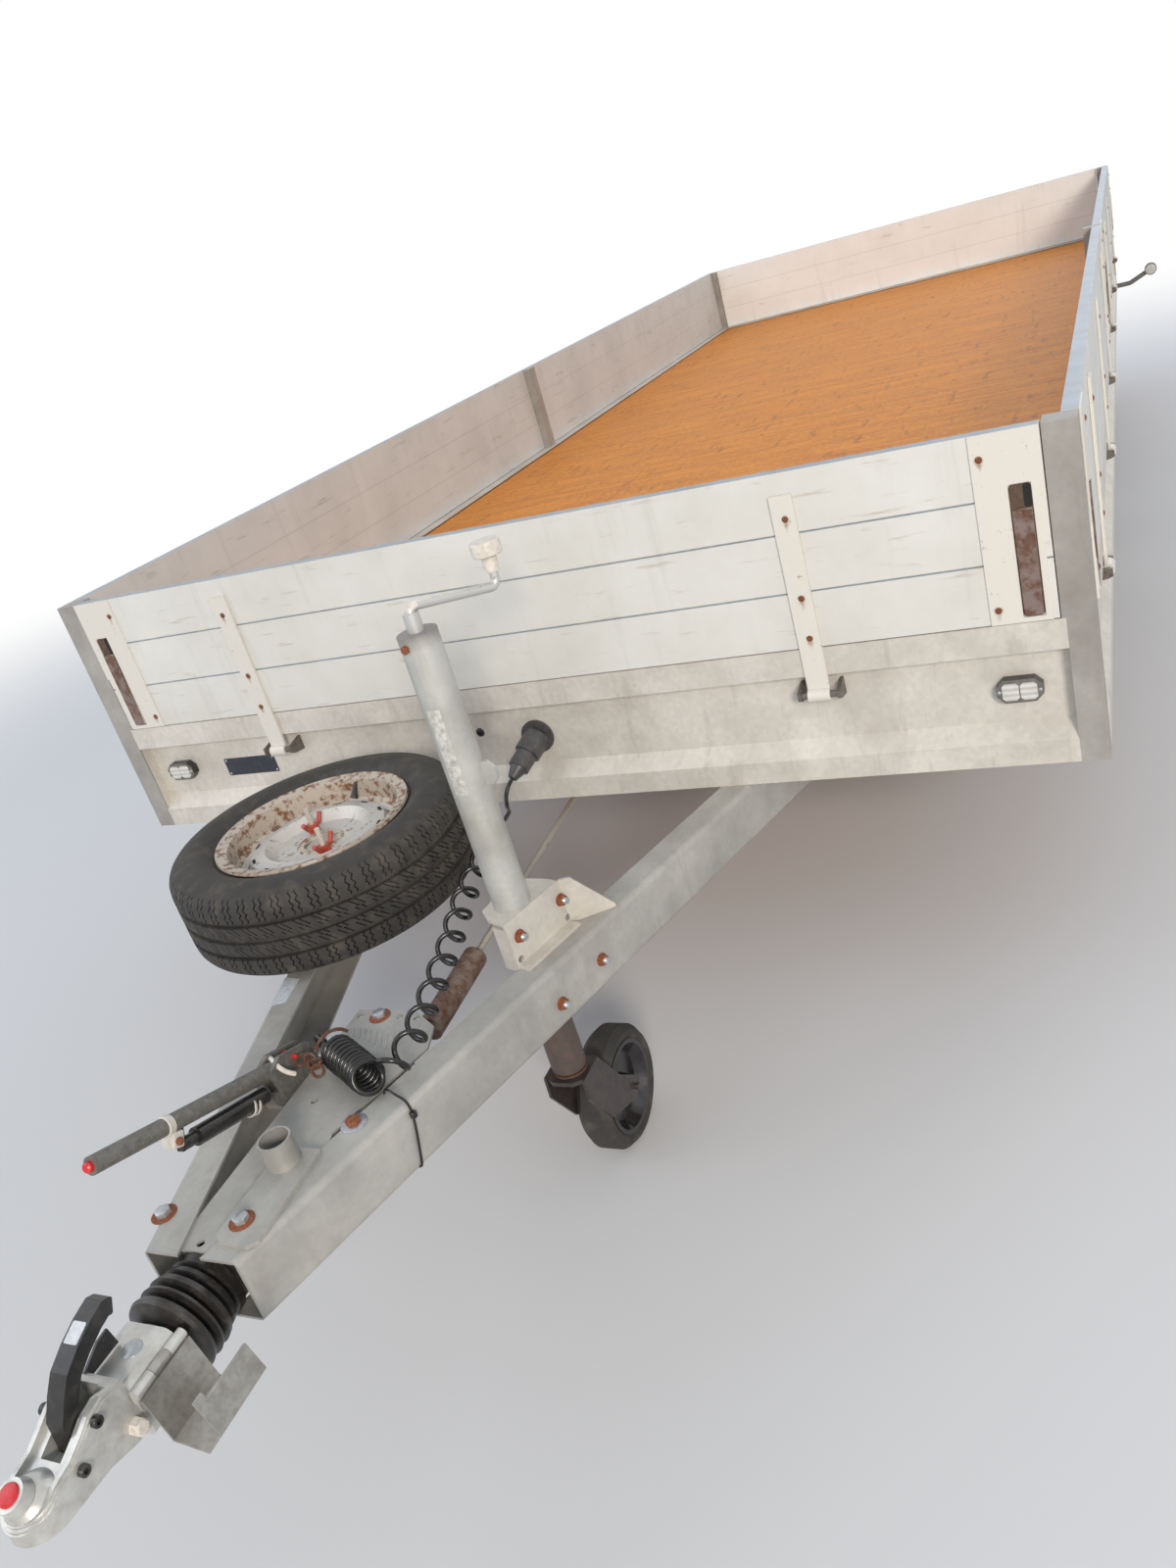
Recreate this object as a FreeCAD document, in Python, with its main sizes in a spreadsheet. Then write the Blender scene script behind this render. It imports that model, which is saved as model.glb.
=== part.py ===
import FreeCAD, Part
import math
import os

import Sketcher

# Utility trailer: tandem axle flatbed with six drop boards, V drawbar with overrun coupling,
# jack wheel and a spare wheel laid on the drawbar.
# While it is drawn, x = 0 is the outer face of the bed's front, +X points to the coupling,
# +Y is the trailer's left and z = 0 is the ground. The finished pieces move along X together,
# so that the origin lies under the middle of the whole trailer.

Vector = FreeCAD.Vector
Rotation = FreeCAD.Rotation
Placement = FreeCAD.Placement
X_AXIS = Vector(1, 0, 0)
Y_AXIS = Vector(0, 1, 0)
Z_AXIS = Vector(0, 0, 1)

doc = FreeCAD.newDocument("utility_trailer")

# Driving dimensions, millimetres and degrees
SIZES = {
    # bed
    "bed_length": 5140,
    "bed_width": 2060,
    "frame_top": 755,
    "frame_depth": 249,
    "rail_reach": 60,
    "rail_wall": 4,
    "rail_top_face": 50,
    "rail_low_face": 42,
    "rail_recess": 28,
    "rail_top_step": 10,
    "rail_low_step": 27,
    "corner_face": 44,
    "cross_depth": 227,
    "cross_shallow": 90,
    "cross_wall": 3,
    "cross_reach": 45,
    "floor_wall": 15,
    "floor_drop": 7,
    "floor_gap": 2,
    # posts and boards
    "board_height": 300,
    "board_wall": 25,
    "board_gap": 2,
    "plank_height": 100,
    "groove_width": 3,
    "groove_depth": 2,
    "post_width": 50,
    "post_wall": 4,
    "mid_post_reach": 2499,
    # hinges and fittings of the boards
    "hinge_drop": 83,
    "hinge_out": 6,
    "hinge_pin_radius": 6,
    "hinge_fit": 0.5,
    "hinge_eye_wall": 5,
    "hinge_pin_length": 74,
    "strap_width": 38,
    "strap_wall": 5.5,
    "strap_gap": 0.5,
    "strap_height": 265,
    "cap_width": 100,
    "cap_wall": 3,
    "slot_width": 33,
    "slot_height": 210,
    "slot_side": 19,
    "slot_base": 8,
    "notch_width": 9,
    "notch_height": 123,
    "latch_wall": 5,
    "latch_width": 28,
    "latch_height": 170,
    # drawbar
    "drawbar_reach": 1130,
    "drawbar_half": 76,
    "drawbar_flare": 17.3,
    "chassis_half": 520,
    "chassis_reach": 3560,
    "beam_depth": 100,
    "beam_reach": 55,
    "beam_wall": 4,
    "beam_bend": 10,
    # overrun housing and coupling
    "tow_height": 450,
    "housing_front": 1118,
    "housing_rear": 652,
    "housing_right": 44,
    "housing_hole": 5.5,
    "sleeve_wall": 5,
    "housing_depth": 84,
    "housing_wall": 4,
    "tube_radius": 28,
    "tube_rear": 700,
    "tube_front": 1300,
    "boot_rear": 1119,
    "boot_radius": 50,
    "boot_fit": 0.3,
    "head_nose": 1448,
    "head_half": 37,
    "head_rear": 1292,
    "head_base": 424,
    "ball_radius": 25,
    "ball_fit": 0.6,
    "clamp_rear": 1216,
    "clamp_half": 40,
    "clamp_top": 492,
    "clamp_base": 408,
    "lip_reach": 10,
    "dish_depth": 7,
    "dome_radius": 34,
    "dome_lift": 8,
    "clamp_round": 16,
    "seat_gap": 0.3,
    "grip_wall": 20,
    "grip_half": 13,
    "grip_fit": 2,
    "grip_seat": 42,
    "button_boss_radius": 17,
    "button_boss_reach": 44,
    "button_boss_tilt": 23,
    "lock_axis_out": 48,
    "lock_axis_height": 484,
    "lock_eye_radius": 7,
    "lock_pin_radius": 4,
    "lock_length": 84,
    "lock_wall": 3,
    # stub socket on the drawbar
    "stub_radius": 23,
    "stub_wall": 3,
    "stub_height": 40,
    "stub_reach": 974,
    "stub_out": 42,
    "stub_plate_wall": 6,
    # handbrake
    "lever_radius": 12,
    "lever_out": 66,
    "lever_pivot_reach": 797,
    "lever_pivot_height": 526,
    "lever_length": 366,
    "lever_tilt": 21,
    "gas_radius": 13,
    "brake_can_radius": 21,
    "brake_rod_radius": 6,
    "rod_out": 62,
    "rod_in": -8,
    "rod_bend_reach": 300,
    # jack
    "jack_reach": 488,
    "jack_out": 181.5,
    "bracket_wall": 5,
    "bracket_height": 80,
    "wing_turn": 38,
    "jack_radius": 30,
    "jack_wall": 3.5,
    "jack_top": 1042,
    "jack_base": 262,
    "jack_fit": 0.6,
    "jack_slider_wall": 3.5,
    "jack_slider_top": 700,
    "jack_fork_gap": 8,
    "jack_trail": 118,
    "jack_wheel_radius": 110,
    "jack_wheel_width": 60,
    "jack_rim_radius": 84,
    "jack_axle_radius": 6,
    "fork_wall": 5,
    "fork_half": 38,
    "crank_radius": 7,
    "crank_arm": 147,
    "crank_turn": 150,
    "crank_collar_radius": 12,
    "crank_rise": 37,
    "crank_drop": 27,
    "knob_radius": 23,
    "knob_height": 22,
    "knob_sleeve_radius": 12,
    "knob_sleeve_height": 24,
    "knob_base": 33,
    # wheels
    "wheel_radius": 270,
    "tyre_width": 170,
    "rim_radius": 180,
    "rim_wall": 5,
    "bead_radius": 164,
    "hub_offset": 25,
    "hub_bore": 33,
    "bolt_circle": 56,
    "bolt_hole": 7,
    "track_half": 800,
    "axle_front_reach": 2370,
    "axle_spread": 700,
    "axle_tube": 70,
    "axle_lift": 62,
    "arm_reach": 150,
    "drum_radius": 115,
    "drum_width": 62,
    "backplate_wall": 6,
    "backplate_gap": 3,
    "spindle_radius": 24,
    "running_fit": 0.1,
    "bead_gap": 0.3,
    "brake_lug_wall": 8,
    # spare
    "spare_reach": 341,
    "spare_out": 272,
    "spare_height": 601,
    # lamps and leads
    "marker_inset": 125,
    "marker_lift": 130,
    "marker_half": 36,
    "marker_tall": 20,
    "marker_cut": 12,
    "marker_depth": 18,
    "lamp_inset": 110,
    "lamp_width": 230,
    "lamp_lift": 78,
    "lamp_height": 100,
    "lamp_reach": 26,
    "plug_radius": 21,
    "plug_out": 13,
    "plug_height": 632,
    "cord_radius": 4.5,
    "coil_radius": 27,
    "stalk_head_radius": 27,
    "stalk_head_length": 40,
    "stalk_reach": 156,
    "stalk_rise": 34,
    "stalk_radius": 11,
}

sheet = doc.addObject("Spreadsheet::Sheet", "sizes")
for row, (alias, number) in enumerate(SIZES.items(), start=1):
    sheet.set(f"A{row}", alias)
    sheet.set(f"B{row}", str(number))
    sheet.setAlias(f"B{row}", alias)
doc.recompute()


class Size:
    """A length that keeps its number together with the sheet expression that it comes from."""

    def __init__(self, number, text):
        self.number = number
        self.text = text

    def __add__(self, other):
        other = as_size(other)
        return Size(self.number + other.number, f"({self.text} + {other.text})")

    def __radd__(self, other):
        return as_size(other) + self

    def __sub__(self, other):
        other = as_size(other)
        return Size(self.number - other.number, f"({self.text} - {other.text})")

    def __rsub__(self, other):
        return as_size(other) - self

    def __mul__(self, other):
        other = as_size(other)
        return Size(self.number * other.number, f"({self.text} * {other.text})")

    def __rmul__(self, other):
        return as_size(other) * self

    def __truediv__(self, other):
        other = as_size(other)
        return Size(self.number / other.number, f"({self.text} / {other.text})")

    def __neg__(self):
        return Size(-self.number, f"(-1 * {self.text})")

    def __float__(self):
        return float(self.number)


def as_size(value):
    """A plain number becomes a Size with no reference to the sheet."""
    if isinstance(value, Size):
        return value
    return Size(value, repr(value))


class Sizes:
    """Each driving dimension as an attribute."""

    def __init__(self):
        for alias in SIZES:
            number = float(sheet.get(alias))
            setattr(self, alias, Size(number, f"sizes.{alias}"))


s = Sizes()


def is_bound(value):
    return isinstance(value, Size) and "sizes." in value.text


# Sketches and PartDesign features

def new_body(label):
    body = doc.addObject("PartDesign::Body", label)
    body.Label = label
    return body


def plane_of(body, role):
    for feature in body.Origin.OriginFeatures:
        if feature.Role == role:
            return feature


def pin_point(sketch, geometry, position, point):
    """Fix one point of the sketch by its two distances from the origin, bound to the sheet."""
    for kind, axis, value in (("DistanceX", -2, point[0]), ("DistanceY", -1, point[1])):
        number = float(value)
        if abs(number) < 1e-9:
            sketch.addConstraint(Sketcher.Constraint("PointOnObject", geometry, position, axis))
            continue
        index = sketch.addConstraint(Sketcher.Constraint(kind, -1, 1, geometry, position, number))
        if is_bound(value):
            sketch.setExpression(f"Constraints[{index}]", value.text)


def draw(body, role, loops, offset=0):
    """A sketch on one origin plane of the body.
    A loop is a list of corner points, or a circle as ("circle", centre, radius)."""
    sketch = body.newObject("Sketcher::SketchObject", body.Name + "_sketch")
    sketch.AttachmentSupport = [(plane_of(body, role), "")]
    sketch.MapMode = "FlatFace"
    sketch.AttachmentOffset = Placement(Vector(0, 0, float(offset)), Rotation())
    if is_bound(offset):
        sketch.setExpression("AttachmentOffset.Base.z", offset.text)
    for loop in loops:
        if loop[0] == "circle":
            centre, radius = loop[1], loop[2]
            middle = Vector(float(centre[0]), float(centre[1]), 0)
            index = sketch.addGeometry(Part.Circle(middle, Z_AXIS, float(radius)), False)
            pin_point(sketch, index, 3, centre)
            bound = sketch.addConstraint(Sketcher.Constraint("Radius", index, float(radius)))
            if is_bound(radius):
                sketch.setExpression(f"Constraints[{bound}]", radius.text)
            continue
        corners = [Vector(float(x), float(y), 0) for x, y in loop]
        first = sketch.GeometryCount
        count = len(corners)
        for i in range(count):
            line = Part.LineSegment(corners[i], corners[(i + 1) % count])
            sketch.addGeometry(line, False)
        for i in range(count):
            following = first + (i + 1) % count
            sketch.addConstraint(Sketcher.Constraint("Coincident", first + i, 2, following, 1))
        for i in range(count):
            pin_point(sketch, first + i, 1, loop[i])
    return sketch


def set_length(feature, length, name="Length"):
    setattr(feature, name, float(length))
    if is_bound(length):
        feature.setExpression(name, length.text)


def pad(body, sketch, length, backwards=False):
    feature = body.newObject("PartDesign::Pad", body.Name + "_pad")
    feature.Profile = sketch
    feature.Reversed = backwards
    set_length(feature, length)
    sketch.Visibility = False
    return feature


def pocket(body, sketch, length, backwards=False):
    """A pocket that must take material away."""
    doc.recompute()
    before = body.Shape.Volume
    feature = body.newObject("PartDesign::Pocket", body.Name + "_pocket")
    feature.Profile = sketch
    feature.Reversed = backwards
    set_length(feature, length)
    doc.recompute()
    if body.Shape.Volume >= before - 1e-6:
        raise ValueError(f"{feature.Label} cuts nothing")
    return feature


def turn(body, sketch):
    feature = body.newObject("PartDesign::Revolution", body.Name + "_turn")
    feature.Profile = sketch
    feature.ReferenceAxis = (sketch, ["V_Axis"])
    feature.Angle = 360
    return feature


def padded(label, role, loops, length, offset=0):
    """A body made by one pad."""
    body = new_body(label)
    pad(body, draw(body, role, loops, offset), length)
    return body


def box_loop(x_low, x_high, y_low, y_high):
    return [(x_low, y_low), (x_high, y_low), (x_high, y_high), (x_low, y_high)]


# Shapes worked out in code, for folded sheet and bent rod

def folded(points, wall):
    """Section of a folded sheet: the path, then the same path set off to its left by the wall."""
    path = [Vector(float(x), float(y), 0) for x, y in points]
    wall = float(wall)
    normals = []
    for start, end in zip(path, path[1:]):
        run = (end - start).normalize()
        normals.append(Vector(-run.y, run.x, 0))
    back = [path[0] + normals[0] * wall]
    for corner, before, after in zip(path[1:-1], normals, normals[1:]):
        back.append(corner + (before + after) * (wall / (1 + before.dot(after))))
    back.append(path[-1] + normals[-1] * wall)
    return [(p.x, p.y) for p in path + back[::-1]]


def bent_edges(points, radii, closed=False):
    """Straight runs joined by tangent arcs of the radii given, one for each corner."""
    count = len(points)
    edges = []
    corners = range(count) if closed else range(1, count - 1)
    starts = {}
    ends = {}
    for i in corners:
        point = points[i]
        back = (points[i - 1] - point).normalize()
        ahead = (points[(i + 1) % count] - point).normalize()
        turn_angle = math.pi - back.getAngle(ahead)
        radius = radii[i]
        if radius <= 0 or turn_angle < 1e-4:
            starts[i] = ends[i] = point
            continue
        reach = radius * math.tan(turn_angle / 2)
        starts[i] = point + back * reach
        ends[i] = point + ahead * reach
        inward = (back + ahead).normalize()
        middle = point + inward * (radius / math.cos(turn_angle / 2) - radius)
        edges.append((i + 0.5, Part.Arc(starts[i], middle, ends[i]).toShape()))
    runs = range(count) if closed else range(count - 1)
    for i in runs:
        j = (i + 1) % count
        start = ends.get(i, points[i])
        end = starts.get(j, points[j])
        if start.distanceToPoint(end) > 1e-6:
            edges.append((i + 0.9, Part.LineSegment(start, end).toShape()))
    edges.sort(key=lambda item: item[0])
    return [edge for place, edge in edges]


def section_face(points, radius=0):
    """A plane face in the XY plane from corner points, its corners rounded by one radius."""
    corners = [Vector(float(x), float(y), 0) for x, y in points]
    radii = radius if isinstance(radius, list) else [float(radius)] * len(corners)
    wire = Part.Wire(bent_edges(corners, radii, closed=True))
    return Part.Face(wire)


# Where the X and Y of a section go: the section's x, its y, and the way it is drawn out
SECTION_TURNS = {
    "across": Rotation(X_AXIS, 90),
    "along": Rotation(Vector(1, 1, 1), 120),
    "up": Rotation(),
}


def drawn_out(points, way, start, end, radius=0):
    """A prism. across: section (x, z) drawn along +Y. along: (y, z) along +X. up: (x, y) along +Z."""
    face = section_face(points, radius)
    length = float(end) - float(start)
    if way == "across":
        solid = face.extrude(Vector(0, 0, -length))
        offset = Vector(0, float(start), 0)
    elif way == "along":
        solid = face.extrude(Vector(0, 0, length))
        offset = Vector(float(start), 0, 0)
    else:
        solid = face.extrude(Vector(0, 0, length))
        offset = Vector(0, 0, float(start))
    solid.Placement = Placement(offset, SECTION_TURNS[way])
    return Part.Shape(solid)


def rod(points, radius, bend=0):
    """A round bar along the points, with one bend radius."""
    path = [Vector(*[float(c) for c in p]) for p in points]
    edges = bent_edges(path, [float(bend)] * len(path))
    heading = (path[1] - path[0]).normalize()
    ring = Part.Wire(Part.Circle(path[0], heading, float(radius)).toShape())
    return Part.Wire(edges).makePipeShell([ring], True, False)


def cylinder(radius, base, heading, length):
    return Part.makeCylinder(float(radius), float(length), Vector(*[float(c) for c in base]), heading)


def block(x_low, x_high, y_low, y_high, z_low, z_high):
    low = Vector(float(x_low), float(y_low), float(z_low))
    size = Vector(float(x_high), float(y_high), float(z_high)) - low
    return Part.makeBox(size.x, size.y, size.z, low)


def turned(shape, angle, x=0, y=0, z=0, axis=Z_AXIS):
    """A copy turned about an axis through the origin, then moved."""
    copy = shape.copy()
    move = Placement(Vector(float(x), float(y), float(z)), Rotation(axis, float(angle)))
    copy.Placement = move.multiply(copy.Placement)
    return copy


def mirrored(shape):
    """The same piece on the other side of the trailer."""
    return shape.mirror(Vector(0, 0, 0), Y_AXIS)


NODES = []
ORIGIN_SHIFT = (s.bed_length + s.hinge_out + s.hinge_pin_radius + s.hinge_fit + s.hinge_eye_wall
                - s.head_nose) / 2


def node(label, *shapes):
    """One sub-part from finished shapes."""
    feature = doc.addObject("Part::Feature", label)
    feature.Label = label
    solids = []
    for shape in shapes:
        solids.extend(shape.Solids)
    feature.Shape = solids[0] if len(solids) == 1 else Part.makeCompound(solids)
    shift_to_origin(feature)
    return feature


def shift_to_origin(feature):
    """Move the finished piece from the drawing's x = 0 to the origin under the trailer's middle."""
    own = feature.Placement.Base.x
    feature.setExpression("Placement.Base.x", f"{ORIGIN_SHIFT.text} + {own!r}")
    NODES.append(feature)


# Values that several pieces share
half_width = s.bed_width / 2
frame_base = s.frame_top - s.frame_depth
floor_top = s.frame_top - s.floor_drop
floor_base = floor_top - s.floor_wall
hinge_height = s.frame_top - s.hinge_drop
eye_radius = s.hinge_pin_radius + s.hinge_fit + s.hinge_eye_wall
beam_top = frame_base
beam_base = frame_base - s.beam_depth
flare_slope = math.tan(math.radians(float(s.drawbar_flare)))
bend_reach = float(s.drawbar_reach) - (float(s.chassis_half) - float(s.drawbar_half)) / flare_slope
wheel_hubs = [s.axle_front_reach, s.axle_front_reach + s.axle_spread]


def beam_out(reach):
    """Outer face of the flared beam at a distance ahead of the bed."""
    return float(s.drawbar_half) + (float(s.drawbar_reach) - float(reach)) * flare_slope


# Frame of the bed
def rail_section():
    """Section of a side rail seen from its end: x = 0 is the outer face."""
    top = s.frame_top
    path = [
        (-s.rail_reach, frame_base),
        (0, frame_base),
        (0, frame_base + s.rail_low_face),
        (-s.rail_recess, frame_base + s.rail_low_face + s.rail_low_step),
        (-s.rail_recess, top - s.rail_top_face - s.rail_top_step),
        (0, top - s.rail_top_face),
        (0, top),
        (-s.rail_reach, top),
    ]
    return folded(path, s.rail_wall)


def corner_column():
    """Folded corner column of the frame, as an angle of two faces, for the corner at x = 0."""
    face = float(s.corner_face)
    wall = float(s.rail_wall)
    half = float(half_width)
    path = [(-face, half), (0, half), (0, half - face)]
    section = folded(path[::-1], wall)
    return drawn_out(section, "up", frame_base, s.frame_top)


def make_frame():
    section = rail_section()
    reach = s.rail_reach
    column = s.corner_face
    half = half_width
    front = drawn_out(section, "across", -half + column, half - column)
    rear = turned(front, 180, x=-s.bed_length)
    node("front_frame", front)
    node("rear_frame", rear)
    side = drawn_out(section, "across", column, s.bed_length - column)
    left = turned(side, 90, y=half).cut([front, rear])
    node("side_frames", left, mirrored(left))
    corner = corner_column()
    rear_corner = turned(mirrored(corner), 180, x=-s.bed_length)
    node("corner_columns", corner, mirrored(corner), rear_corner, mirrored(rear_corner))


# Cross members: name, the size that it follows, share of that size, further distance behind, depth
CROSS_MEMBERS = [
    ("front", "bed_length", 0.109, 0, "cross_depth"),
    ("second", "bed_length", 0.22, 0, "cross_depth"),
    ("third", "bed_length", 0.339, 0, "cross_depth"),
    ("over_front_wheels", "axle_front_reach", 1, -120, "cross_shallow"),
    ("between_wheels", "axle_front_reach", 1, 350, "cross_depth"),
    ("over_rear_wheels", "axle_front_reach", 1, 820, "cross_shallow"),
    ("sixth", "bed_length", 0.689, 0, "cross_depth"),
    ("seventh", "bed_length", 0.79, 0, "cross_depth"),
    ("last", "bed_length", 0.895, 0, "cross_depth"),
]


def make_cross_members():
    reach = float(half_width - s.rail_reach)
    flange = float(s.cross_reach)
    shapes = []
    for name, follows, share, further, depth in CROSS_MEMBERS:
        place = float(getattr(s, follows)) * share + further
        top = float(floor_base)
        low = top - float(getattr(s, depth))
        path = [(flange, low), (0, low), (0, top), (flange, top)]
        section = folded([(x - place, z) for x, z in path[::-1]], s.cross_wall)
        shapes.append(drawn_out(section, "across", -reach, reach))
    node("cross_members", *shapes)


def make_floor():
    edge = s.rail_reach + s.floor_gap
    body = padded("floor_panel", "XY_Plane",
                  [box_loop(-(s.bed_length - edge), -edge, -(half_width - edge), half_width - edge)],
                  s.floor_wall, floor_base)
    shift_to_origin(body)


# Posts
def make_posts():
    form = new_body("post_form")
    w = s.post_width
    t = s.post_wall
    outer = box_loop(-w, 0, -w, 0)
    inner = box_loop(-w + t, -t, -w + t, -t)
    pad(form, draw(form, "XY_Plane", [outer, inner], s.frame_top), s.board_height)
    pad(form, draw(form, "XY_Plane", [outer], s.frame_top + s.board_height - t), t)
    doc.recompute()
    front_left = turned(form.Shape, 0, y=half_width)
    front_right = mirrored(front_left)
    rear_left = turned(front_right, 180, x=-s.bed_length)
    middle = turned(form.Shape, 0, x=-s.mid_post_reach + w / 2, y=half_width)
    node("board_posts", front_left, front_right, rear_left, mirrored(rear_left), middle, mirrored(middle))


# Drop boards
def board_section():
    """Section of a three plank board: outer face at x = 0, a groove between the planks."""
    base = s.frame_top + s.board_gap
    top = s.frame_top + s.board_height
    points = [(-s.board_wall, base), (0, base)]
    for planks in (1, 2):
        joint = s.frame_top + s.plank_height * planks
        points.append((0, joint - s.groove_width / 2))
        points.append((-s.groove_depth, joint))
        points.append((0, joint + s.groove_width / 2))
    points += [(0, top), (-s.board_wall, top)]
    return points


STRAP_EDGE = 390


def strap_places(length, count):
    """Middles of the straps along a board, evenly spread between the outer two."""
    if count == 2:
        return [-length / 2 + STRAP_EDGE, length / 2 - STRAP_EDGE]
    return [-length / 2 + STRAP_EDGE, 0, length / 2 - STRAP_EDGE]


def strap_shape():
    """Hinge strap with its eye, at y = 0 on a board whose outer face is x = 0."""
    form = new_body("strap_form")
    inner = s.strap_gap
    outer = s.strap_gap + s.strap_wall
    width = s.strap_width
    plate = box_loop(inner, outer, hinge_height, s.frame_top + s.strap_height)
    eye = ("circle", (s.hinge_out, hinge_height), eye_radius)
    bore = ("circle", (s.hinge_out, hinge_height), s.hinge_pin_radius + s.hinge_fit)
    pad(form, draw(form, "XZ_Plane", [plate], -width / 2), width)
    pad(form, draw(form, "XZ_Plane", [eye], -width / 2), width)
    pocket(form, draw(form, "XZ_Plane", [bore], -width / 2), width, backwards=True)
    doc.recompute()
    return form.Shape


def cap_shape():
    """End cap with its latch slot, for the +Y end of a board that ends at y = 0."""
    form = new_body("cap_form")
    w = s.cap_width
    base = s.frame_top + s.board_gap
    height = s.board_height - s.board_gap
    notch_top = base + s.notch_height
    face = [(-w, base), (-s.notch_width, base), (-s.notch_width, notch_top), (0, notch_top),
            (0, base + height), (-w, base + height)]
    slot_high = -s.slot_side
    slot = box_loop(slot_high - s.slot_width, slot_high, base + s.slot_base,
                    base + s.slot_base + s.slot_height)
    pad(form, draw(form, "YZ_Plane", [face, slot], 0), s.cap_wall)
    doc.recompute()
    return form.Shape


def latch_shape():
    """Flat latch lever that lies in the slot of the end cap."""
    slot_middle = -s.slot_side - s.slot_width / 2
    base = s.frame_top + s.board_gap + s.slot_base
    half = s.latch_width / 2
    return block(0, s.latch_wall, slot_middle - half, slot_middle + half, base + 3,
                 base + s.latch_height)


# Board names, middle x, middle y, length, heading of the outer face, number of straps
def board_table():
    gap = float(s.board_gap)
    post = float(s.post_width)
    front_end = post + gap
    mid_front = float(s.mid_post_reach) - post / 2 - gap
    mid_rear = float(s.mid_post_reach) + post / 2 + gap
    rear_end = float(s.bed_length) - post - gap
    across = float(s.bed_width) - 2 * front_end
    half = float(half_width)
    fore = mid_front - front_end
    aft = rear_end - mid_rear
    fore_x = -(mid_front + front_end) / 2
    aft_x = -(rear_end + mid_rear) / 2
    return [
        ("front_board", 0, 0, across, 0, 2),
        ("rear_board", -float(s.bed_length), 0, across, 180, 2),
        ("left_front_board", fore_x, half, fore, 90, 3),
        ("left_rear_board", aft_x, half, aft, 90, 3),
        ("right_front_board", fore_x, -half, fore, -90, 3),
        ("right_rear_board", aft_x, -half, aft, -90, 3),
    ]


def make_boards():
    strap = strap_shape()
    cap = cap_shape()
    latch = latch_shape()
    pins = []
    for name, x, y, length, heading, straps in board_table():
        form = new_body(name + "_form")
        pad(form, draw(form, "XZ_Plane", [board_section()], -length / 2), length)
        doc.recompute()
        node(name, turned(form.Shape, heading, x, y))
        end = length / 2
        pieces = [turned(cap, 0, y=end), mirrored(turned(cap, 0, y=end))]
        for place in strap_places(length, straps):
            pieces.append(turned(strap, 0, y=place))
            pins.append(turned(hinge_shape(), heading, x, y).translated(
                Rotation(Z_AXIS, heading).multVec(Vector(0, place, 0))))
        pieces += [turned(latch, 0, y=end), mirrored(turned(latch, 0, y=end))]
        fittings = [turned(piece, heading, x, y) for piece in pieces]
        node(name + "_fittings", *fittings)
    node("hinge_pins", *pins)


def hinge_shape():
    """Pin and its two lugs, welded into the recess of the rail at y = 0."""
    half = s.hinge_pin_length / 2
    lug_wall = 6
    height = hinge_height
    pin = cylinder(s.hinge_pin_radius, (s.hinge_out, -half, height), Y_AXIS, s.hinge_pin_length)
    shape = pin
    for low in (-half, half - lug_wall):
        lug = drawn_out([(-s.rail_recess, height - 16), (s.hinge_out, height - 10),
                         (s.hinge_out + 8, height - 6), (s.hinge_out + 8, height + 8),
                         (-s.rail_recess, height + 16)], "across", low, low + lug_wall)
        shape = shape.fuse(lug)
    return shape


# Drawbar
def make_drawbar():
    def outline(inset, extra):
        """Plan of one beam between two lines parallel to its outer face."""
        angle = math.radians(float(s.drawbar_flare))
        out = float(s.chassis_half)
        path = [(float(s.drawbar_reach), float(s.drawbar_half)), (bend_reach, out),
                (-float(s.chassis_reach), out)]
        slope_shift = inset / math.cos(angle)
        corner_shift = inset * math.tan(angle / 2)
        return [(path[0][0] + extra, path[0][1] - slope_shift - extra * flare_slope),
                (path[1][0] - corner_shift, out - inset),
                (path[2][0] - extra, out - inset)]

    wall = float(s.beam_wall)
    reach = float(s.beam_reach)
    outer = outline(0, 0)
    whole = drawn_out(outer + outline(reach, 0)[::-1], "up", beam_base, beam_top)
    edges = []
    for edge in whole.Edges:
        middle = edge.BoundBox.Center
        flat = abs(edge.BoundBox.ZLength) < 1e-6
        along = edge.Length > 500
        on_outer = middle.y > (float(s.chassis_half) - 1 if middle.x < bend_reach
                               else beam_out(middle.x) - 1)
        if flat and along and on_outer:
            edges.append(edge)
    whole = whole.makeFillet(float(s.beam_bend), edges)
    room = drawn_out(outline(wall, 20) + outline(reach + 20, 20)[::-1], "up",
                     beam_base + wall, beam_top - wall)
    beam = whole.cut(room)
    node("drawbar_beams", beam, mirrored(beam))


# Overrun housing between the beams, and the draw tube that slides in it
def housing_top():
    """Plan of the housing's top plate: straight on the right, along the left beam on the left."""
    front = float(s.housing_front)
    rear = float(s.housing_rear)
    right = float(s.housing_right)
    flare_end = rear + 81
    beside = float(s.beam_reach) / math.cos(math.radians(float(s.drawbar_flare)))

    def left(reach, gap):
        return beam_out(reach) - beside - gap
    return [(front, -right + 8), (rear, -right), (rear, 61), (rear + 34, left(rear + 34, 44)),
            (flare_end, left(flare_end, 14)), (rear + 258, left(rear + 258, 14)), (rear + 290, left(rear + 290, -8)),
            (front, left(front, -8))]


# Holes in the housing's top plate: distance ahead of its rear end, distance to the left
HOUSING_HOLES = [(15, -32), (15, 41), (17, 73), (201, 4), (454, -1)]


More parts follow.
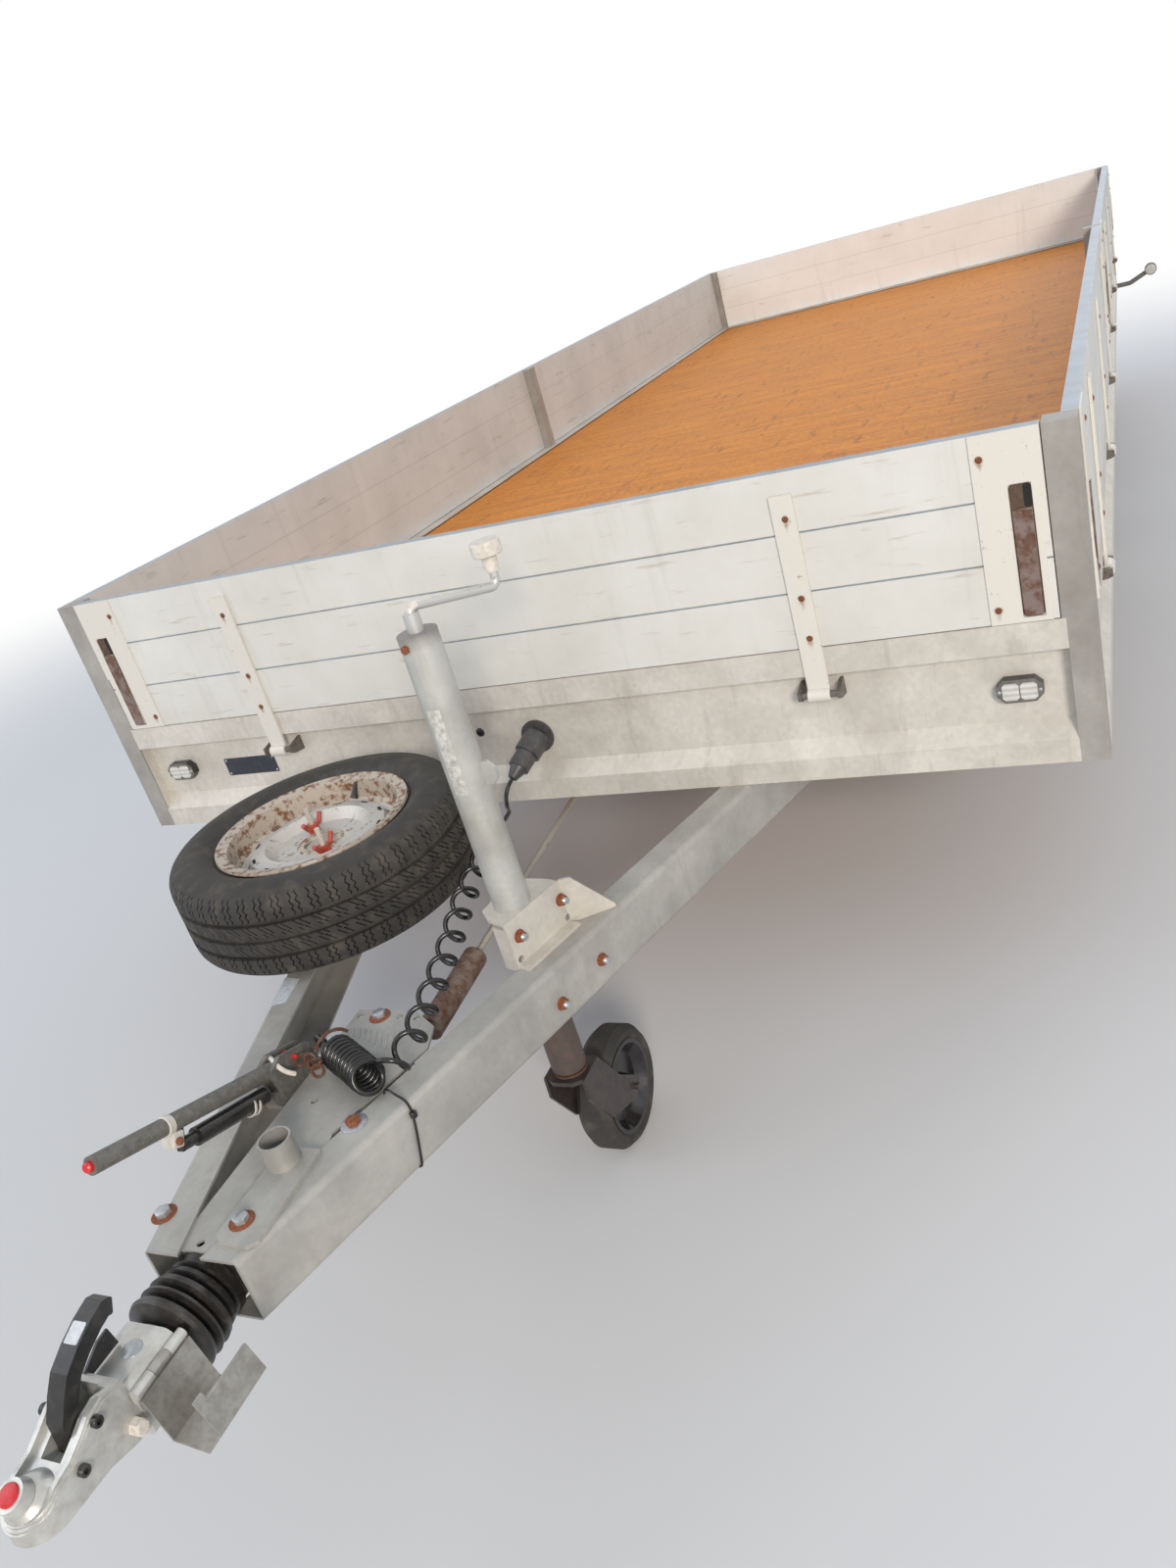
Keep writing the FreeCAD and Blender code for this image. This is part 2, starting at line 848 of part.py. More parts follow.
def make_housing():
    wall = float(s.housing_wall)
    top = float(beam_top) - float(s.beam_wall)
    base = top - float(s.housing_depth)
    front = float(s.housing_front)
    rear = float(s.housing_rear)
    right = float(s.housing_right)
    plate = drawn_out(housing_top(), "up", top - wall, top)
    sides = []
    for middle in (-right + 14, right - 14):
        sides.append(block(rear + 12, front - 6, middle - wall / 2, middle + wall / 2, base, top - wall + 0.01))
    floor = float(beam_base) + float(s.beam_wall)
    cross_low = rear + 60
    cross_high = rear + 130
    cross_half = beam_out(cross_high) - float(s.beam_wall) - 2
    foot = block(cross_low, cross_high, -cross_half, cross_half, floor, base + 0.01)
    post_half = float(s.rod_out) + 2 * float(s.brake_rod_radius)
    post = block(cross_low, cross_high, -right, post_half, floor, float(s.tow_height) + 10)
    sleeve_out = cylinder(float(s.tube_radius) + float(s.sleeve_wall), (rear + 20, 0, s.tow_height), X_AXIS,
                          front - rear - 40)
    sleeve_in = cylinder(float(s.tube_radius) + float(s.running_fit), (rear, 0, s.tow_height), X_AXIS,
                         front - rear)
    web = block(rear + 30, front - 30, -wall, wall, float(s.tow_height) + float(s.tube_radius) + 2,
                top - wall + 0.01)
    side_room = block(rear - 1, rear + 21, -right, right, base - 1, top - wall - 0.5)
    solid = plate.fuse(sides + [foot, post, sleeve_out, web]).cut([sleeve_in, side_room])
    holes = []
    for reach, out in HOUSING_HOLES:
        holes.append(cylinder(s.housing_hole, (rear + reach, out, top - wall - 1), Z_AXIS, wall + 2))
    node("overrun_housing", solid.cut(holes).removeSplitter())
    tube = cylinder(s.tube_radius, (s.tube_rear, 0, s.tow_height), X_AXIS,
                    s.tube_front - s.tube_rear)
    node("draw_tube", tube)


# Outline of the boot ahead of its collar: distance from the boot's rear end, radius
BOOT_FOLDS = [(16, 41), (21, 51), (27, 52), (32, 43), (37, 56), (45, 58), (51, 45), (56, 58), (60, 59),
              (65, 46), (71, 58), (77, 60), (82, 58), (92, 36), (96.5, 34)]


def make_boot():
    """Ribbed rubber boot over the draw tube, with a collar in the mouth between the beams."""
    inner = float(s.tube_radius) + float(s.boot_fit)
    crest = float(s.boot_radius)
    rear = float(s.boot_rear)
    neck = float(s.drawbar_reach) - rear + 1
    points = [(inner, 0), (crest, 0), (crest, neck)]
    points += [(radius, reach) for reach, radius in BOOT_FOLDS]
    points.append((inner, BOOT_FOLDS[-1][0]))
    face = section_face(points, 0)
    solid = face.revolve(Vector(0, 0, 0), Y_AXIS, 360)
    solid = turned(turned(solid, -90), 0, x=rear, z=s.tow_height)
    flange_room = block(rear - 1, float(s.drawbar_reach) + float(s.seat_gap), -crest - 1, crest + 1, 0,
                        float(beam_base) + float(s.beam_wall) + float(s.seat_gap))
    node("drawbar_boot", solid.cut(flange_room))


def head_profile():
    """Side view of the coupling head, from the rear base round the top to the nose."""
    nose = float(s.head_nose) + 5
    low = float(s.head_base)
    rear = float(s.head_rear)
    return [(rear, low), (rear + 26, low + 4), (rear + 58, low + 14), (nose, low + 20), (nose, low + 40),
            (nose - 10, low + 46), (nose - 30, low + 52), (nose - 50, low + 61), (nose - 74, low + 65),
            (nose - 94, low + 74), (nose - 112, low + 84), (nose - 134, low + 88), (rear, low + 80)]


# Steps of the rounded lip: how far in from the outline, how far below the top
LIP_STEPS = [(0, 6), (1.5, 2.5), (4, 0)]


def make_coupling():
    """Cast coupling head: lips round a sunken top, dome over the ball, and the clamp block."""
    nose = float(s.head_nose)
    half = float(s.head_half)
    rear = float(s.head_rear)
    centre = nose - half
    tow = float(s.tow_height)

    def plan(inset):
        side = half - inset
        return Part.Face(Part.Wire([
            Part.LineSegment(Vector(rear, -side, 0), Vector(centre, -side, 0)).toShape(),
            Part.Arc(Vector(centre, -side, 0), Vector(nose - inset, 0, 0), Vector(centre, side, 0)).toShape(),
            Part.LineSegment(Vector(centre, side, 0), Vector(rear, side, 0)).toShape(),
            Part.LineSegment(Vector(rear, side, 0), Vector(rear, -side, 0)).toShape()]))

    profile = drawn_out(head_profile(), "across", -half - 5, half + 5)
    hood = None
    for inset, drop in LIP_STEPS:
        column = plan(inset).extrude(Vector(0, 0, 1000))
        layer = profile.common(profile.translated(Vector(0, 0, -drop))).common(column)
        hood = layer if hood is None else hood.fuse(layer)
    hood = hood.removeSplitter()
    dish_shift = Vector(0, 0, -float(s.dish_depth))
    dish = plan(float(s.lip_reach)).extrude(Vector(0, 0, 1000))
    profile = drawn_out(head_profile(), "across", -half, half).translated(dish_shift)
    over = dish.cut(profile)
    over = over.common(block(rear + 14, nose, -half, half, tow, tow + 200))
    hood = hood.cut(over)
    dome = Part.makeSphere(float(s.dome_radius), Vector(centre, 0, tow + float(s.dome_lift)))
    dome = dome.common(plan(3).extrude(Vector(0, 0, 1000))).common(
        block(rear, nose, -half, half, tow, tow + 200))
    hood = hood.fuse([dome, button_boss(centre)])
    ball = float(s.ball_radius) + float(s.ball_fit)
    cup = Part.makeSphere(ball, Vector(centre, 0, tow))
    base = float(s.head_base)
    mouth = cylinder(ball, (centre, 0, base - 5), Z_AXIS, tow - base + 5)
    channel_half = float(s.grip_half) + float(s.grip_fit)
    channel = block(rear + 12, centre - ball - 6, -channel_half, channel_half, base + float(s.grip_seat),
                    base + 120)
    hood = hood.cut([cup, mouth, channel])
    clamp = block(s.clamp_rear, rear, -s.clamp_half, s.clamp_half, s.clamp_base, s.clamp_top)
    long_edges = [e for e in clamp.Edges if e.BoundBox.XLength > 10]
    clamp = clamp.makeFillet(float(s.clamp_round), long_edges)
    bore = cylinder(float(s.tube_radius) + float(s.running_fit), (float(s.clamp_rear) - 5, 0, tow), X_AXIS,
                    float(s.tube_front) - float(s.clamp_rear) + 5.1)
    head = hood.fuse([clamp, lock_hinge()]).cut(bore)
    node("coupling_head", head.removeSplitter())


def button_boss(centre):
    """Tapered boss that carries the wear button, leaning to the nose on top of the dome."""
    tilt = math.radians(float(s.button_boss_tilt))
    lean = Vector(math.sin(tilt), 0, math.cos(tilt))
    top = float(s.button_boss_radius)
    inside = float(s.dome_radius) - 4
    base = Vector(centre, 0, float(s.tow_height) + float(s.dome_lift)) + lean * inside
    return Part.makeCone(top + 3, top, float(s.button_boss_reach) - inside, base, lean)


# Top line of the grip, seen from the side, as distances behind the nose and above the tow height
GRIP_LINE = [(86, 6), (91, 58), (107, 81), (123, 99), (147, 112), (173, 122), (196, 127), (208, 121)]


def make_handle():
    """Curved grip that rises to the rear out of the channel in the head."""
    half = float(s.grip_half)
    nose = float(s.head_nose)
    floor = float(s.head_base) + float(s.grip_seat) + float(s.seat_gap)
    section = folded([(nose - back, float(s.tow_height) + up) for back, up in GRIP_LINE], s.grip_wall)
    solid = drawn_out(section, "across", -half, half, 3)
    solid = solid.cut(block(float(s.head_rear), nose, -half - 1, half + 1, 0, floor))
    node("coupling_handle", solid)


def lock_hinge():
    """Fixed leaf, pin and outer knuckles of the lock flap's hinge, welded to the clamp."""
    y = float(s.lock_axis_out)
    z = float(s.lock_axis_height)
    middle = (float(s.clamp_rear) + float(s.head_rear)) / 2
    rear = middle - float(s.lock_length) / 2
    third = float(s.lock_length) / 3
    clear = 0.3
    leaf = block(rear, rear + float(s.lock_length), float(s.clamp_half) - 0.01, y, z - 14, z - 3)
    pin = cylinder(s.lock_pin_radius, (rear, y, z), X_AXIS, s.lock_length)
    fixed = leaf.fuse(pin)
    eye = float(s.lock_eye_radius)
    for start in (0, 2 * third):
        fixed = fixed.fuse(cylinder(eye, (rear + start, y, z), X_AXIS, third))
    room = block(rear + third - clear, rear + 2 * third + clear, float(s.clamp_half) + 0.5, y + 20, z - 30,
                 z + 20)
    return fixed.cut(room).fuse(pin)


def make_lock():
    """Hinged lock flap that hangs open at the left of the clamp."""
    y = float(s.lock_axis_out)
    z = float(s.lock_axis_height)
    middle = (float(s.clamp_rear) + float(s.head_rear)) / 2
    rear = middle - float(s.lock_length) / 2
    third = float(s.lock_length) / 3
    clear = 0.3
    eye = float(s.lock_eye_radius)
    wall = float(s.lock_wall)
    path = [(y + 5, z - 6), (y + 19, z - 71), (y + 69, z - 79), (y + 107, z - 38), (y + 92, z + 10)]
    section = folded(path, wall)
    flap = drawn_out(section, "along", rear, rear + float(s.lock_length))
    slot = block(rear + 22, rear + 44, y + 30, y + 42, z - 100, z - 60)
    dip = block(rear - 1, rear + float(s.lock_length) - 14, y + 80, y + 120, z, z + 30)
    flap = flap.cut(dip)
    knuckle = cylinder(eye, (rear + third + clear, y, z), X_AXIS, third - 2 * clear)
    notch_low = cylinder(eye + 0.8, (rear - 1, y, z), X_AXIS, third + 1 + clear)
    notch_high = cylinder(eye + 0.8, (rear + 2 * third - clear, y, z), X_AXIS, third + 2)
    flap = flap.cut([notch_low, notch_high]).fuse(knuckle)
    flap = flap.cut(cylinder(float(s.lock_pin_radius) + 0.2, (rear - 5, y, z), X_AXIS,
                             float(s.lock_length) + 10))
    node("lock_flap", flap.removeSplitter())


def make_stub():
    """Bolted plate with a short tube standing on it, on top of the left beam and the housing."""
    base = float(beam_top)
    wall = float(s.stub_plate_wall)
    x = float(s.stub_reach)
    y = float(s.stub_out)
    plate = drawn_out([(x - 26, y - 22), (x + 122, y - 20), (x + 134, y - 8), (x + 136, y + 36),
                       (x + 124, y + 48), (x - 26, y + 42)], "up", base, base + wall, 2)
    tube = cylinder(s.stub_radius, (x, y, base), Z_AXIS, wall + float(s.stub_height))
    bore = cylinder(s.stub_radius - s.stub_wall, (x, y, base - 1), Z_AXIS,
                    wall + float(s.stub_height) + 2)
    node("stub_socket", plate.fuse(tube).cut(bore).removeSplitter())


# Handbrake
def lever_point(along, above=0):
    """A point in the lever's plane, measured along it from the pivot and square above it."""
    angle = math.radians(float(s.lever_tilt))
    x = float(s.lever_pivot_reach) + along * math.cos(angle) - above * math.sin(angle)
    z = float(s.lever_pivot_height) + along * math.sin(angle) + above * math.cos(angle)
    return (x, -float(s.lever_out), z)


def make_handbrake():
    radius = float(s.lever_radius)
    length = float(s.lever_length)
    heading = Vector(*lever_point(1)) - Vector(*lever_point(0))
    bar = cylinder(radius, lever_point(20), heading, length - 20)
    y = -float(s.lever_out)
    pivot_x = float(s.lever_pivot_reach)
    pivot_z = float(s.lever_pivot_height)
    top = float(beam_top)
    under_plate = top - float(s.beam_wall) - float(s.housing_wall)
    low = under_plate - 20
    side_wall = -float(s.housing_right) + 14 - float(s.housing_wall) / 2
    foot = block(pivot_x - 40, pivot_x + 46, y - 15, side_wall, low, under_plate)
    cheek = drawn_out([(pivot_x - 40, low), (pivot_x + 46, low), (pivot_x + 58, top + 44),
                       (pivot_x + 30, top + 52), (pivot_x - 30, top + 30)], "across", y - 15, y + 15, 4)
    slot = drawn_out([(pivot_x - 60, top + 2), (pivot_x + 70, top + 2), (pivot_x + 80, top + 80),
                      (pivot_x - 60, top + 80)], "across", y - 8, y + 8)
    bracket = cheek.cut(slot).fuse([foot, bar])
    node("handbrake_lever", bracket.removeSplitter())
    front = Vector(*lever_point(226, -34))
    rear = Vector(*lever_point(66, -30))
    run = (front - rear).normalize()
    body = cylinder(s.gas_radius, tuple(rear), run, rear.distanceToPoint(front) - 26)
    fork = cylinder(9, tuple(front - run * 26.01), run, 26)
    lug = cylinder(6, lever_point(226, -40), Vector(*lever_point(0, 1)) - Vector(*lever_point(0)), 30)
    room = cylinder(radius + float(s.seat_gap), lever_point(0), heading, length)
    node("gas_spring", body.fuse([fork, lug]).cut(room))


def make_brake_rod():
    """Spring can and rod from the overrun to the front axle, bent where it gets under the bed."""
    z = float(s.tow_height)
    thick = float(s.brake_rod_radius)
    front = Vector(float(s.housing_rear) + 60, float(s.rod_out), z)
    bend = Vector(-float(s.rod_bend_reach), float(s.rod_in), z)
    rear = Vector(-float(s.axle_front_reach) + float(s.arm_reach) + float(s.brake_lug_wall) / 2,
                  float(s.rod_in), z)
    rod_shape = rod([tuple(front), tuple(bend), tuple(rear)], thick, 60)
    heading = (bend - front).normalize()
    can = cylinder(s.brake_can_radius, tuple(front + heading * 80), heading, 188)
    squared = block(front.x, front.x + 50, -200, 200, z - 40, z + 40)
    node("brake_rod", can.fuse(rod_shape).cut(squared).removeSplitter())


# Jack
def bracket_shape():
    """Formed plate on the left beam that carries the tube: wall, front flange, shelf and wing."""
    slope = float(s.drawbar_flare)
    x = float(s.jack_reach)
    seat_y = beam_out(x) - float(s.beam_reach) / math.cos(math.radians(slope))
    wall = float(s.bracket_wall)
    low = float(beam_base) + float(s.beam_wall) + 10
    base = float(beam_top)
    top = base + float(s.bracket_height)
    web = block(-60, 68, -wall, 0, low, top)
    flange = block(68 - wall, 68, -30, 0, base - 6, top - 10)
    shelf = drawn_out([(68, 0), (63, -41), (46, -70), (4, -77), (-34, -72), (-52, -62), (-61, -22), (-60, 0)],
                      "up", top - wall, top, 5)
    wing_length = 78
    wing = drawn_out([(-wing_length, base), (0, base), (0, top), (-20, top - 2), (-wing_length, base + 5)],
                     "across", -wall, 0, 2)
    wing = turned(wing, -float(s.wing_turn), x=-60)
    foot = block(-60, 66, -wall, 22, base, base + wall)
    shape = web.fuse([flange, shelf, wing, foot])
    holes = [cylinder(6, (u, -wall - 1, base + 12), Y_AXIS, wall + 2) for u in (-64 + 6, 58)]
    shape = turned(shape.cut(holes), -slope, x=x, y=seat_y)
    tube_room = cylinder(float(s.jack_radius) + 0.05, (x, s.jack_out, 0), Z_AXIS, 2000)
    return shape.cut(tube_room).removeSplitter()


def make_jack():
    x = float(s.jack_reach)
    y = float(s.jack_out)
    radius = float(s.jack_radius)
    bore = radius - float(s.jack_wall)
    base = float(s.jack_base)
    top = float(s.jack_top)
    tube = cylinder(radius, (x, y, base), Z_AXIS, top - base)
    inside = cylinder(bore, (x, y, base - 1), Z_AXIS, top - base - 6)
    lug = drawn_out([(y, 795), (y + radius + 12, 795), (y + radius + 22, 806), (y + radius + 22, 822),
                     (y + radius + 12, 833), (y, 833)], "along", x - 3, x + 3)
    node("jack_tube", tube.fuse(lug).cut(inside).removeSplitter())

    node("jack_bracket", bracket_shape())

    slider_out = bore - float(s.jack_fit)
    slider_in = slider_out - float(s.jack_slider_wall)
    slider_base = base - float(s.jack_fork_gap)
    slider = cylinder(slider_out, (x, y, slider_base), Z_AXIS, float(s.jack_slider_top) - slider_base)
    slider = slider.cut(cylinder(slider_in, (x, y, slider_base + 20), Z_AXIS, 2000))
    flange = cylinder(radius, (x, y, slider_base), Z_AXIS, 4)
    node("jack_slider", slider.fuse(flange))

    # fork that swivels under the slider; its wheel trails to the rear
    trail = float(s.jack_trail)
    axle_z = float(s.jack_wheel_radius)
    fork_top = slider_base - 0.5
    half = float(s.fork_half)
    fwall = float(s.fork_wall)
    plate_half = half
    crown = drawn_out([(-32, -plate_half), (24, -plate_half), (38, -18), (38, 18), (24, plate_half),
                       (-32, plate_half)], "up", fork_top - 8, fork_top, 4)
    leg_points = [(-30, fork_top), (30, fork_top), (32, fork_top - 40), (-20, 128), (-trail + 8, axle_z - 20),
                  (-trail - 14, axle_z - 12), (-trail - 18, axle_z + 10), (-80, axle_z + 60)]
    legs = []
    for low in (-half, half - fwall):
        legs.append(drawn_out(leg_points, "across", low, low + fwall, 3))
    axle = cylinder(s.jack_axle_radius, (-trail, -half - 8, axle_z), Y_AXIS, 2 * half + 16)
    fork = crown.fuse(legs + [axle]).removeSplitter()
    node("jack_fork", turned(fork, 0, x, y))

    wheel_x = x - trail
    width = float(s.jack_wheel_width)
    rim = float(s.jack_rim_radius)
    bore_radius = float(s.jack_axle_radius) + float(s.running_fit)
    rim_points = [(bore_radius, -30), (20, -30), (24, -8), (rim - 22, -8), (rim - 8, -width / 2 + 2),
                  (rim, -width / 2 + 2), (rim, width / 2 - 2), (rim - 8, width / 2 - 2),
                  (rim - 22, 8), (24, 8), (20, 30), (bore_radius, 30)]
    rim_solid = section_face(rim_points, 0).revolve(Vector(0, 0, 0), Y_AXIS, 360)
    node("jack_wheel_rim", turned(rim_solid, 0, wheel_x, y, axle_z))
    outer = float(s.jack_wheel_radius)
    tyre_points = [(rim, -width / 2 + 4), (rim + 8, -width / 2), (outer - 10, -width / 2), (outer, -width / 2 + 12),
                   (outer, width / 2 - 12), (outer - 10, width / 2), (rim + 8, width / 2), (rim, width / 2 - 4)]
    tyre_solid = section_face(tyre_points, 0).revolve(Vector(0, 0, 0), Y_AXIS, 360)
    node("jack_wheel_tyre", turned(tyre_solid, 0, wheel_x, y, axle_z))

    # crank on top of the tube
    turn_angle = math.radians(float(s.crank_turn))
    arm = float(s.crank_arm)
    end_x = x + arm * math.cos(turn_angle)
    end_y = y + arm * math.sin(turn_angle)
    rise = float(s.crank_rise)
    low = rise - float(s.crank_drop)
    sleeve_low = top + float(s.knob_base)
    cap_low = sleeve_low + float(s.knob_sleeve_height)
    cap_high = cap_low + float(s.knob_height)
    seat = float(s.seat_gap)
    crank = rod([(x, y, top + seat), (x, y, top + rise), (end_x, end_y, top + low), (end_x, end_y, cap_high - 4)],
                s.crank_radius, 10)
    collar = cylinder(s.crank_collar_radius, (x, y, top + seat), Z_AXIS, rise - 9)
    sleeve_radius = float(s.knob_sleeve_radius)
    sleeve = Part.makeCone(sleeve_radius - 1.5, sleeve_radius, cap_low + 1 - sleeve_low,
                           Vector(end_x, end_y, sleeve_low), Z_AXIS)
    knob = cylinder(s.knob_radius, (end_x, end_y, cap_low), Z_AXIS, s.knob_height)
    knob = knob.makeFillet(3, [e for e in knob.Edges if e.Closed])
    node("jack_crank", crank.fuse([collar, sleeve, knob]))


# Road wheels, axis along Y, outer face towards +Y, middle at the origin
def tyre_form():
    half = float(s.tyre_width) / 2
    outer = float(s.wheel_radius)
    bead = float(s.bead_radius)
    points = [(bead, -half * 0.72), (bead + 16, -half * 0.8), (outer - 56, -half), (outer - 16, -half * 0.92),
              (outer, -half * 0.66), (outer, half * 0.66), (outer - 16, half * 0.92), (outer - 56, half),
              (bead + 16, half * 0.8), (bead, half * 0.72)]
    return section_face(points, 0).revolve(Vector(0, 0, 0), Y_AXIS, 360)


def rim_form():
    wall = float(s.rim_wall)
    bead = float(s.bead_radius) - float(s.bead_gap)
    half = float(s.tyre_width) / 2
    flange = float(s.rim_radius)
    edge = half * 0.82 + 2
    seat = half * 0.72
    well = bead - 18
    path = [(flange, -edge), (bead, -edge + 4), (bead, -seat * 0.6), (well, -seat * 0.42), (well, seat * 0.3),
            (bead, seat * 0.5), (bead, edge - 4), (flange, edge)]
    barrel = section_face(folded(path[::-1], -wall), 0).revolve(Vector(0, 0, 0), Y_AXIS, 360)
    face = float(s.hub_offset)
    hub = float(s.hub_bore)
    disc_path = [(hub, face), (84, face), (100, face + 18), (122, face + 14), (well - wall + 1, face - 24)]
    disc = section_face(folded(disc_path, wall), 0).revolve(Vector(0, 0, 0), Y_AXIS, 360)
    holes = []
    for i in range(4):
        angle = math.radians(45 + 90 * i)
        x = float(s.bolt_circle) * math.cos(angle)
        z = float(s.bolt_circle) * math.sin(angle)
        holes.append(cylinder(s.bolt_hole, (x, face - 40, z), Y_AXIS, 80))
    return barrel.fuse(disc).cut(holes).removeSplitter()


def drum_form():
    """Brake drum and hub that the rim is bolted to, open towards the axle."""
    face = float(s.hub_offset)
    wall = 8
    back = face - float(s.drum_width)
    outer = float(s.drum_radius)
    bore = float(s.spindle_radius) + float(s.running_fit)
    nose = bore + 8
    points = [(bore, back + 6), (nose, back + 6), (nose, face - wall), (outer - wall, face - wall), (outer - wall, back),
              (outer, back), (outer, face - 12), (outer - 20, face), (nose, face), (nose, face + 44),
              (bore, face + 44)]
    return section_face(points).revolve(Vector(0, 0, 0), Y_AXIS, 360)


def make_wheels():
    tyre = tyre_form()
    rim = rim_form()
    names = ("front", "rear")
    bolted_rim = rim.fuse(drum_form()).removeSplitter()
    for name, reach in zip(names, wheel_hubs):
        left = {"tyre": turned(tyre, 0, -reach, s.track_half, s.wheel_radius),
                "rim": turned(bolted_rim, 0, -reach, s.track_half, s.wheel_radius)}
        for piece, shape in left.items():
            node(f"{name}_left_{piece}", shape)
            node(f"{name}_right_{piece}", mirrored(shape))
    spare_turn = 90
    node("spare_tyre", turned(tyre, spare_turn, s.spare_reach, -s.spare_out, s.spare_height, X_AXIS))
    node("spare_rim", turned(rim, spare_turn, s.spare_reach, -s.spare_out, s.spare_height, X_AXIS))


def make_axles():
    tubes = []
    half_tube = float(s.axle_tube) / 2
    hub_z = float(s.wheel_radius)
    tube_z = hub_z + float(s.axle_lift)
    tube_end = float(s.track_half) - float(s.tyre_width) / 2 - 96
    face_y = float(s.track_half) + float(s.hub_offset)
    plate_low = face_y - float(s.drum_width) - float(s.backplate_gap) - float(s.backplate_wall)
    for reach in wheel_hubs:
        hub_x = -float(reach)
        tube_x = hub_x + float(s.arm_reach)
        tube = block(tube_x - half_tube, tube_x + half_tube, -tube_end, tube_end, tube_z - half_tube,
                     tube_z + half_tube)
        for side in (1, -1):
            beam_y = side * (float(s.chassis_half) - float(s.beam_reach) / 2)
            seat = block(tube_x - 60, tube_x + 60, beam_y - 25, beam_y + 25, tube_z + half_tube - 0.01,
                         float(beam_base))
            arm_y = side * (tube_end - 18)
            arm = drawn_out([(tube_x + 44, tube_z - 20), (tube_x + 44, tube_z + 26), (tube_x + 10, tube_z + 44),
                             (hub_x - 26, hub_z + 30), (hub_x - 38, hub_z), (hub_x - 26, hub_z - 30),
                             (tube_x, tube_z - 44)], "across", arm_y - 18, arm_y + 18)
            stub_start = arm_y
            stub_end = side * (face_y + 30)
            spindle = cylinder(s.spindle_radius, (hub_x, min(stub_start, stub_end), hub_z), Y_AXIS,
                               abs(stub_end - stub_start))
            plate_y = plate_low if side > 0 else -plate_low - float(s.backplate_wall)
            backplate = cylinder(s.drum_radius, (hub_x, plate_y, hub_z), Y_AXIS, s.backplate_wall)
            tube = tube.fuse([seat, arm, spindle, backplate])
        if not tubes:
            lug_half = float(s.brake_lug_wall) / 2
            brake_y = float(s.rod_in)
            lug = block(tube_x - lug_half, tube_x + lug_half, brake_y - 18, brake_y + 18,
                        tube_z + half_tube - 0.01, float(s.tow_height) + 16)
            tube = tube.fuse(lug)
        tubes.append(tube.removeSplitter())
    node("axles", *tubes)


def make_spare_carrier():
    x = float(s.spare_reach)
    y = -float(s.spare_out)
    base = float(beam_top)
    face = float(s.spare_height) + float(s.hub_offset)
    plate = block(x - 110, x + 110, y - 50, y + 50, base, base + 6)
    riser = drawn_out([(x - 80, base + 5), (x + 80, base + 5), (x + 66, face), (x - 66, face)], "across",
                      y - 30, y + 30)
    core = drawn_out([(x - 74, base + 6), (x + 74, base + 6), (x + 60, face - 6), (x - 60, face - 6)], "across",
                     y - 31, y + 31)
    carrier = plate.fuse(riser.cut(core))
    studs = []
    nuts = []
    for angle in (45, 225):
        px = x + float(s.bolt_circle) * math.cos(math.radians(angle))
        py = y + float(s.bolt_circle) * math.sin(math.radians(angle))
        stud = cylinder(4.9, (px, py, face - 8), Z_AXIS, 62)
        pad_block = cylinder(16, (px, py, face - 6), Z_AXIS, 6)
        carrier = carrier.fuse([stud, pad_block])
        hub = cylinder(11, (px, py, face + float(s.rim_wall) + 0.3), Z_AXIS, 16)
        for side in (1, -1):
            wing = rod([(px, py, face + 14), (px + 16 * side, py + 3, face + 16), (px + 27 * side, py + 3, face + 32)],
                       4.5, 5)
            hub = hub.fuse(wing)
        nuts.append(hub.cut(cylinder(5, (px, py, face - 20), Z_AXIS, 120)))
    node("spare_carrier", carrier.removeSplitter())
    node("spare_wing_nuts", *nuts)


# Lamps
def make_lamps():
    web = -float(s.rail_recess)
    half = s.marker_half
    tall = s.marker_tall
    cut = s.marker_cut
    marker_reach = half_width - s.marker_inset
    marker_height = frame_base + s.marker_lift
    outline = [(-half, -tall + cut), (-half + cut, -tall), (half - cut, -tall), (half, -tall + cut),
               (half, tall - cut), (half - cut, tall), (-half + cut, tall), (-half, tall - cut)]
    face = section_face([(marker_reach + y, marker_height + z) for y, z in outline])
    marker = face.extrude(Vector(0, 0, float(s.marker_depth)))
    marker.Placement = Placement(Vector(web, 0, 0), SECTION_TURNS["along"])
    marker = Part.Shape(marker)
    rear_web = -float(s.bed_length) - web
    lamp_out = float(half_width) - float(s.lamp_inset)
    lamp_low = float(frame_base) + float(s.lamp_lift)
    lamp = block(rear_web - float(s.lamp_reach), rear_web, lamp_out - float(s.lamp_width), lamp_out, lamp_low,
                 lamp_low + float(s.lamp_height))
    node("lamps", marker, mirrored(marker), lamp, mirrored(lamp))
    stalk_x = -float(s.bed_length) + 25
    half = float(half_width)
    base = float(frame_base)
    foot_half = 2 * float(s.stalk_radius)
    end = half + float(s.stalk_reach)
    rise = base + float(s.stalk_rise)
    arm = rod([(stalk_x, half - 20, base - foot_half / 2), (stalk_x, half + 60, base - foot_half / 2),
               (stalk_x, end - 6, rise - 4)], s.stalk_radius, 40)
    foot = block(stalk_x - foot_half, stalk_x + foot_half, half - 50, half - 10, base - 24, base)
    length = float(s.stalk_head_length)
    head = cylinder(s.stalk_head_radius, (stalk_x - length / 2, end, rise), X_AXIS, length)
    stalk = foot.fuse([arm, head])
    node("side_markers", stalk, mirrored(stalk))


# Parking holder, plug and leads


